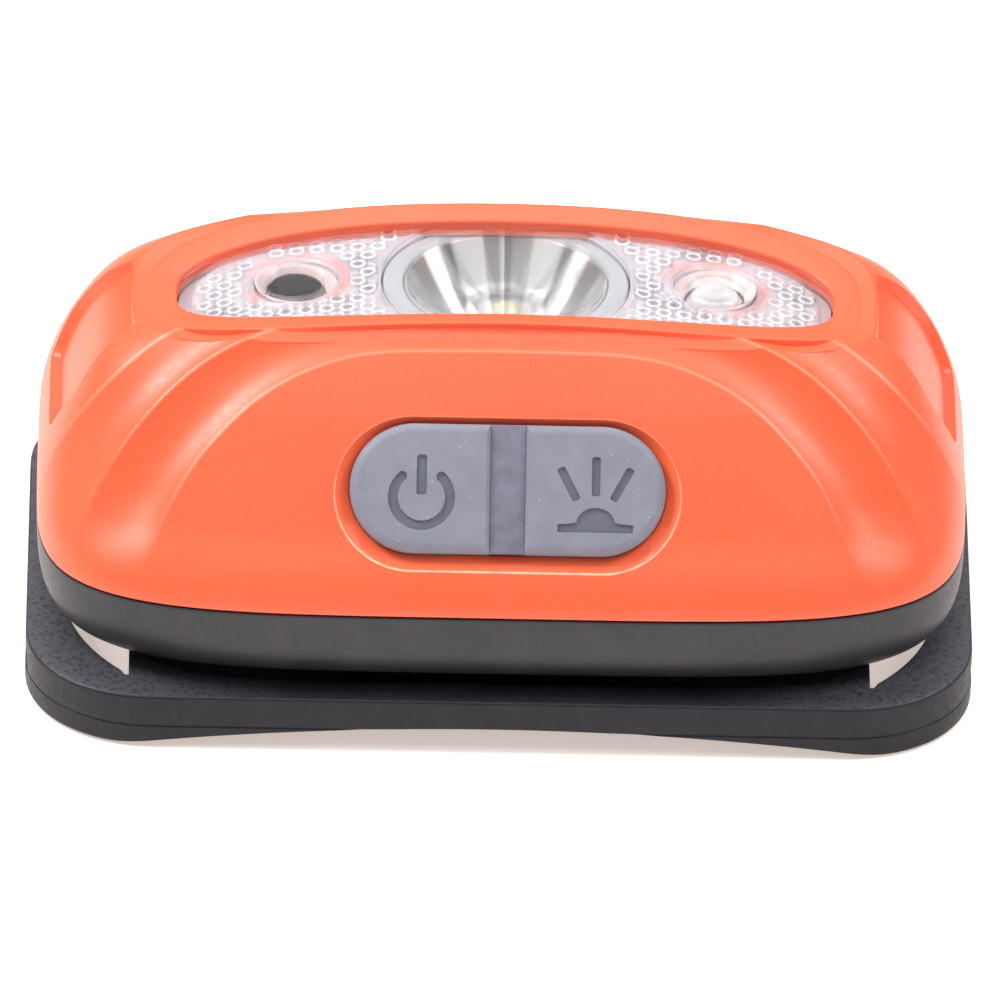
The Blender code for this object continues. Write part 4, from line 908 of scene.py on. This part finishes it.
apply_boolean(br, loft([[(x, y, z) for x, z in prof_a] for y in (-25.0, 25.0)]))
pan = np.stack(outline(tau_samples(160, 24.9, 17.5, 6), 24.9, 17.5, 6), 1)
apply_boolean(br, loft(levels(pan, [(2.9, 0.25), (2.98, 0.08), (3.3, 0.0), (3.55, -0.05), (3.72, -0.3), (5.0, -1.2)])))
for s in (-1, 1):
    half = []
    for yy in np.linspace(-1, 1, 61):
        half.append((SLOT_OUT - (SLOT_OUT - SLOT_IN) * abs(yy) ** 3.5, yy * 17.3))
    half[0], half[-1] = (SLOT_IN + 0.25, -17.3), (SLOT_IN + 0.25, 17.3)
    o = np.array([(SLOT_IN, y) for y in np.linspace(17.3, -17.3, 31)] + half)
    if s < 0:
        o = o[::-1] * np.array([-1, 1])
    apply_boolean(br, loft([np.concatenate([o * np.array([1 + e * 0.00, 1]) + np.zeros(2), np.full((len(o), 1), z)], 1) for z, e in ((-2.0, 0), (6.0, 0))]))
    x0, x1 = sorted((s * 27.0, s * 34.0))
    w = stadium(26.2, 1.5, 12, 10)
    apply_boolean(br, loft([np.stack([np.full(len(w), x), w[:, 0], w[:, 1] + 1.85], 1) for x in (x0, x1)]))
for s in (-1, 1):
    x0, x1 = sorted((s * EAR_X0, s * EAR_X1))
    ear = []
    for x, i in ((x0, 0.2), (x0 + 0.2, 0.0), (x1 - 0.2, 0.0), (x1, 0.2)):
        r = 1.85 - i
        ear.append([(x, HINGE_Y + r * math.cos(a), HINGE_Z + r * math.sin(a)) for a in np.linspace(-0.15, math.pi + 0.15, 31)] + [(x, HINGE_Y - 2.0, 2.6), (x, HINGE_Y + 2.0, 2.6)])
    apply_boolean(br, loft(ear), "UNION")
apply_boolean(br, box(-EAR_X0 + 0.02, EAR_X0 - 0.02, HINGE_Y - 2.6, 19.4, 2.9, 8.0))
apply_boolean(br, turned([(0, -14.5), (PIN_R + 0.3, -14.5), (PIN_R + 0.3, 14.5), (0, 14.5)], (0, HINGE_Y, HINGE_Z), 48, "X"))
finish_smooth(br, 32)
ride(br, "bracket_body", "bracket_black", "bracket")

# ------------------------------------------------------------------ carried-over nodes get their own finish
def dress(node, mat, bevel=0.0, angle=30):
    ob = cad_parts[node]
    ob.data.materials.clear()
    ob.data.materials.append(mat)
    for p in ob.data.polygons:
        p.material_index = 0
    if bevel:
        m = ob.modifiers.new("edge", "BEVEL")
        m.width, m.segments, m.limit_method, m.angle_limit = bevel * MM, 2, "ANGLE", math.radians(angle)
for node, mat in (("reflector_frame", FRAME_GREY), ("main_pcb", PCB), ("switch_board", PCB), ("led_board", FRAME_GREY),
                  ("power_plunger", SWITCH), ("sensor_plunger", SWITCH), ("power_switch", STEEL), ("sensor_switch", STEEL),
                  ("battery", FOIL), ("battery_lead_red", RED), ("battery_lead_black", DARK), ("usb_socket", STEEL),
                  ("housing_gasket", RUBBER), ("hinge_pin", STEEL), ("pcb_screw_left", STEEL), ("pcb_screw_right", STEEL),
                  ("case_screw_1", STEEL), ("case_screw_2", STEEL), ("case_screw_3", STEEL), ("case_screw_4", STEEL), ("usb_flap", RUBBER)):
    dress(node, mat)

# ------------------------------------------------------------------ floor, world, lights and camera
floor_mat = plain("light_table", (0.80, 0.78, 0.76), 0.6, spread=0.01, bump=0.0)
floor_bsdf = floor_mat.node_tree.nodes["Principled BSDF"]
floor_bsdf.inputs["Emission Color"].default_value = (1.0, 0.86, 0.79, 1)
floor_bsdf.inputs["Emission Strength"].default_value = 0.55
floor = new_object("floor", [(-2500, -2500, 0), (2500, -2500, 0), (2500, 2500, 0), (-2500, 2500, 0)], [(0, 1, 2, 3)], [floor_mat], smooth=None, tidy=False)
floor.location.z = -0.0001

scene = bpy.context.scene
world = bpy.data.worlds.new("studio")
world.use_nodes = True
bg = world.node_tree.nodes["Background"]
bg.inputs["Color"].default_value = (1, 1, 1, 1)
bg.inputs["Strength"].default_value = 0.32
scene.world = world
scene.view_settings.view_transform = "Standard"

def area(name, at, look, size, power, color=(1, 1, 1), size_y=None):
    l = bpy.data.lights.new(name, "AREA")
    l.energy, l.size, l.color = power, size, color
    if size_y:
        l.shape, l.size_y = "RECTANGLE", size_y
    ob = bpy.data.objects.new(name, l)
    ob.location = at
    ob.rotation_mode = "QUATERNION"
    ob.rotation_quaternion = (Vector(look) - Vector(at)).to_track_quat("-Z", "Y")
    scene.collection.objects.link(ob)
    return ob
area("top_back", (0.0, 0.40, 0.62), (0, 0, 0.01), 0.6, 1.8, size_y=0.4)
area("top_front", (0.05, -0.28, 0.78), (0, 0, 0.01), 0.55, 1.95, size_y=0.4)
area("left_high", (-0.47, 0.05, 0.60), (0, 0, 0.01), 0.26, 5.4)
area("right_high", (0.50, 0.0, 0.62), (0, 0, 0.01), 0.30, 3.0)
area("behind", (0.0, 0.95, 0.50), (0, 0, 0.01), 0.8, 0.12, size_y=0.4)

ELEV, YAW, ROLL, DIST, FOCAL = 29.2, 0.9, 1.5, 1.6, 24320.0
LOOK = Vector((0.0, 0.0, 0.00757))
e, p = math.radians(ELEV), math.radians(YAW)
cam_data = bpy.data.cameras.new("camera")
cam_data.sensor_width = 36.0
cam_data.lens = FOCAL * 36.0 / 1000.0
cam_data.clip_start, cam_data.clip_end = 0.01, 10.0
cam = bpy.data.objects.new("camera", cam_data)
back = Vector((-math.sin(p) * math.cos(e), -math.cos(p) * math.cos(e), math.sin(e)))
cam.location = LOOK + back * DIST
cam.rotation_mode = "QUATERNION"
cam.rotation_quaternion = (-back).to_track_quat("-Z", "Y") @ Quaternion((0, 0, 1), math.radians(ROLL))
scene.collection.objects.link(cam)
scene.camera = cam
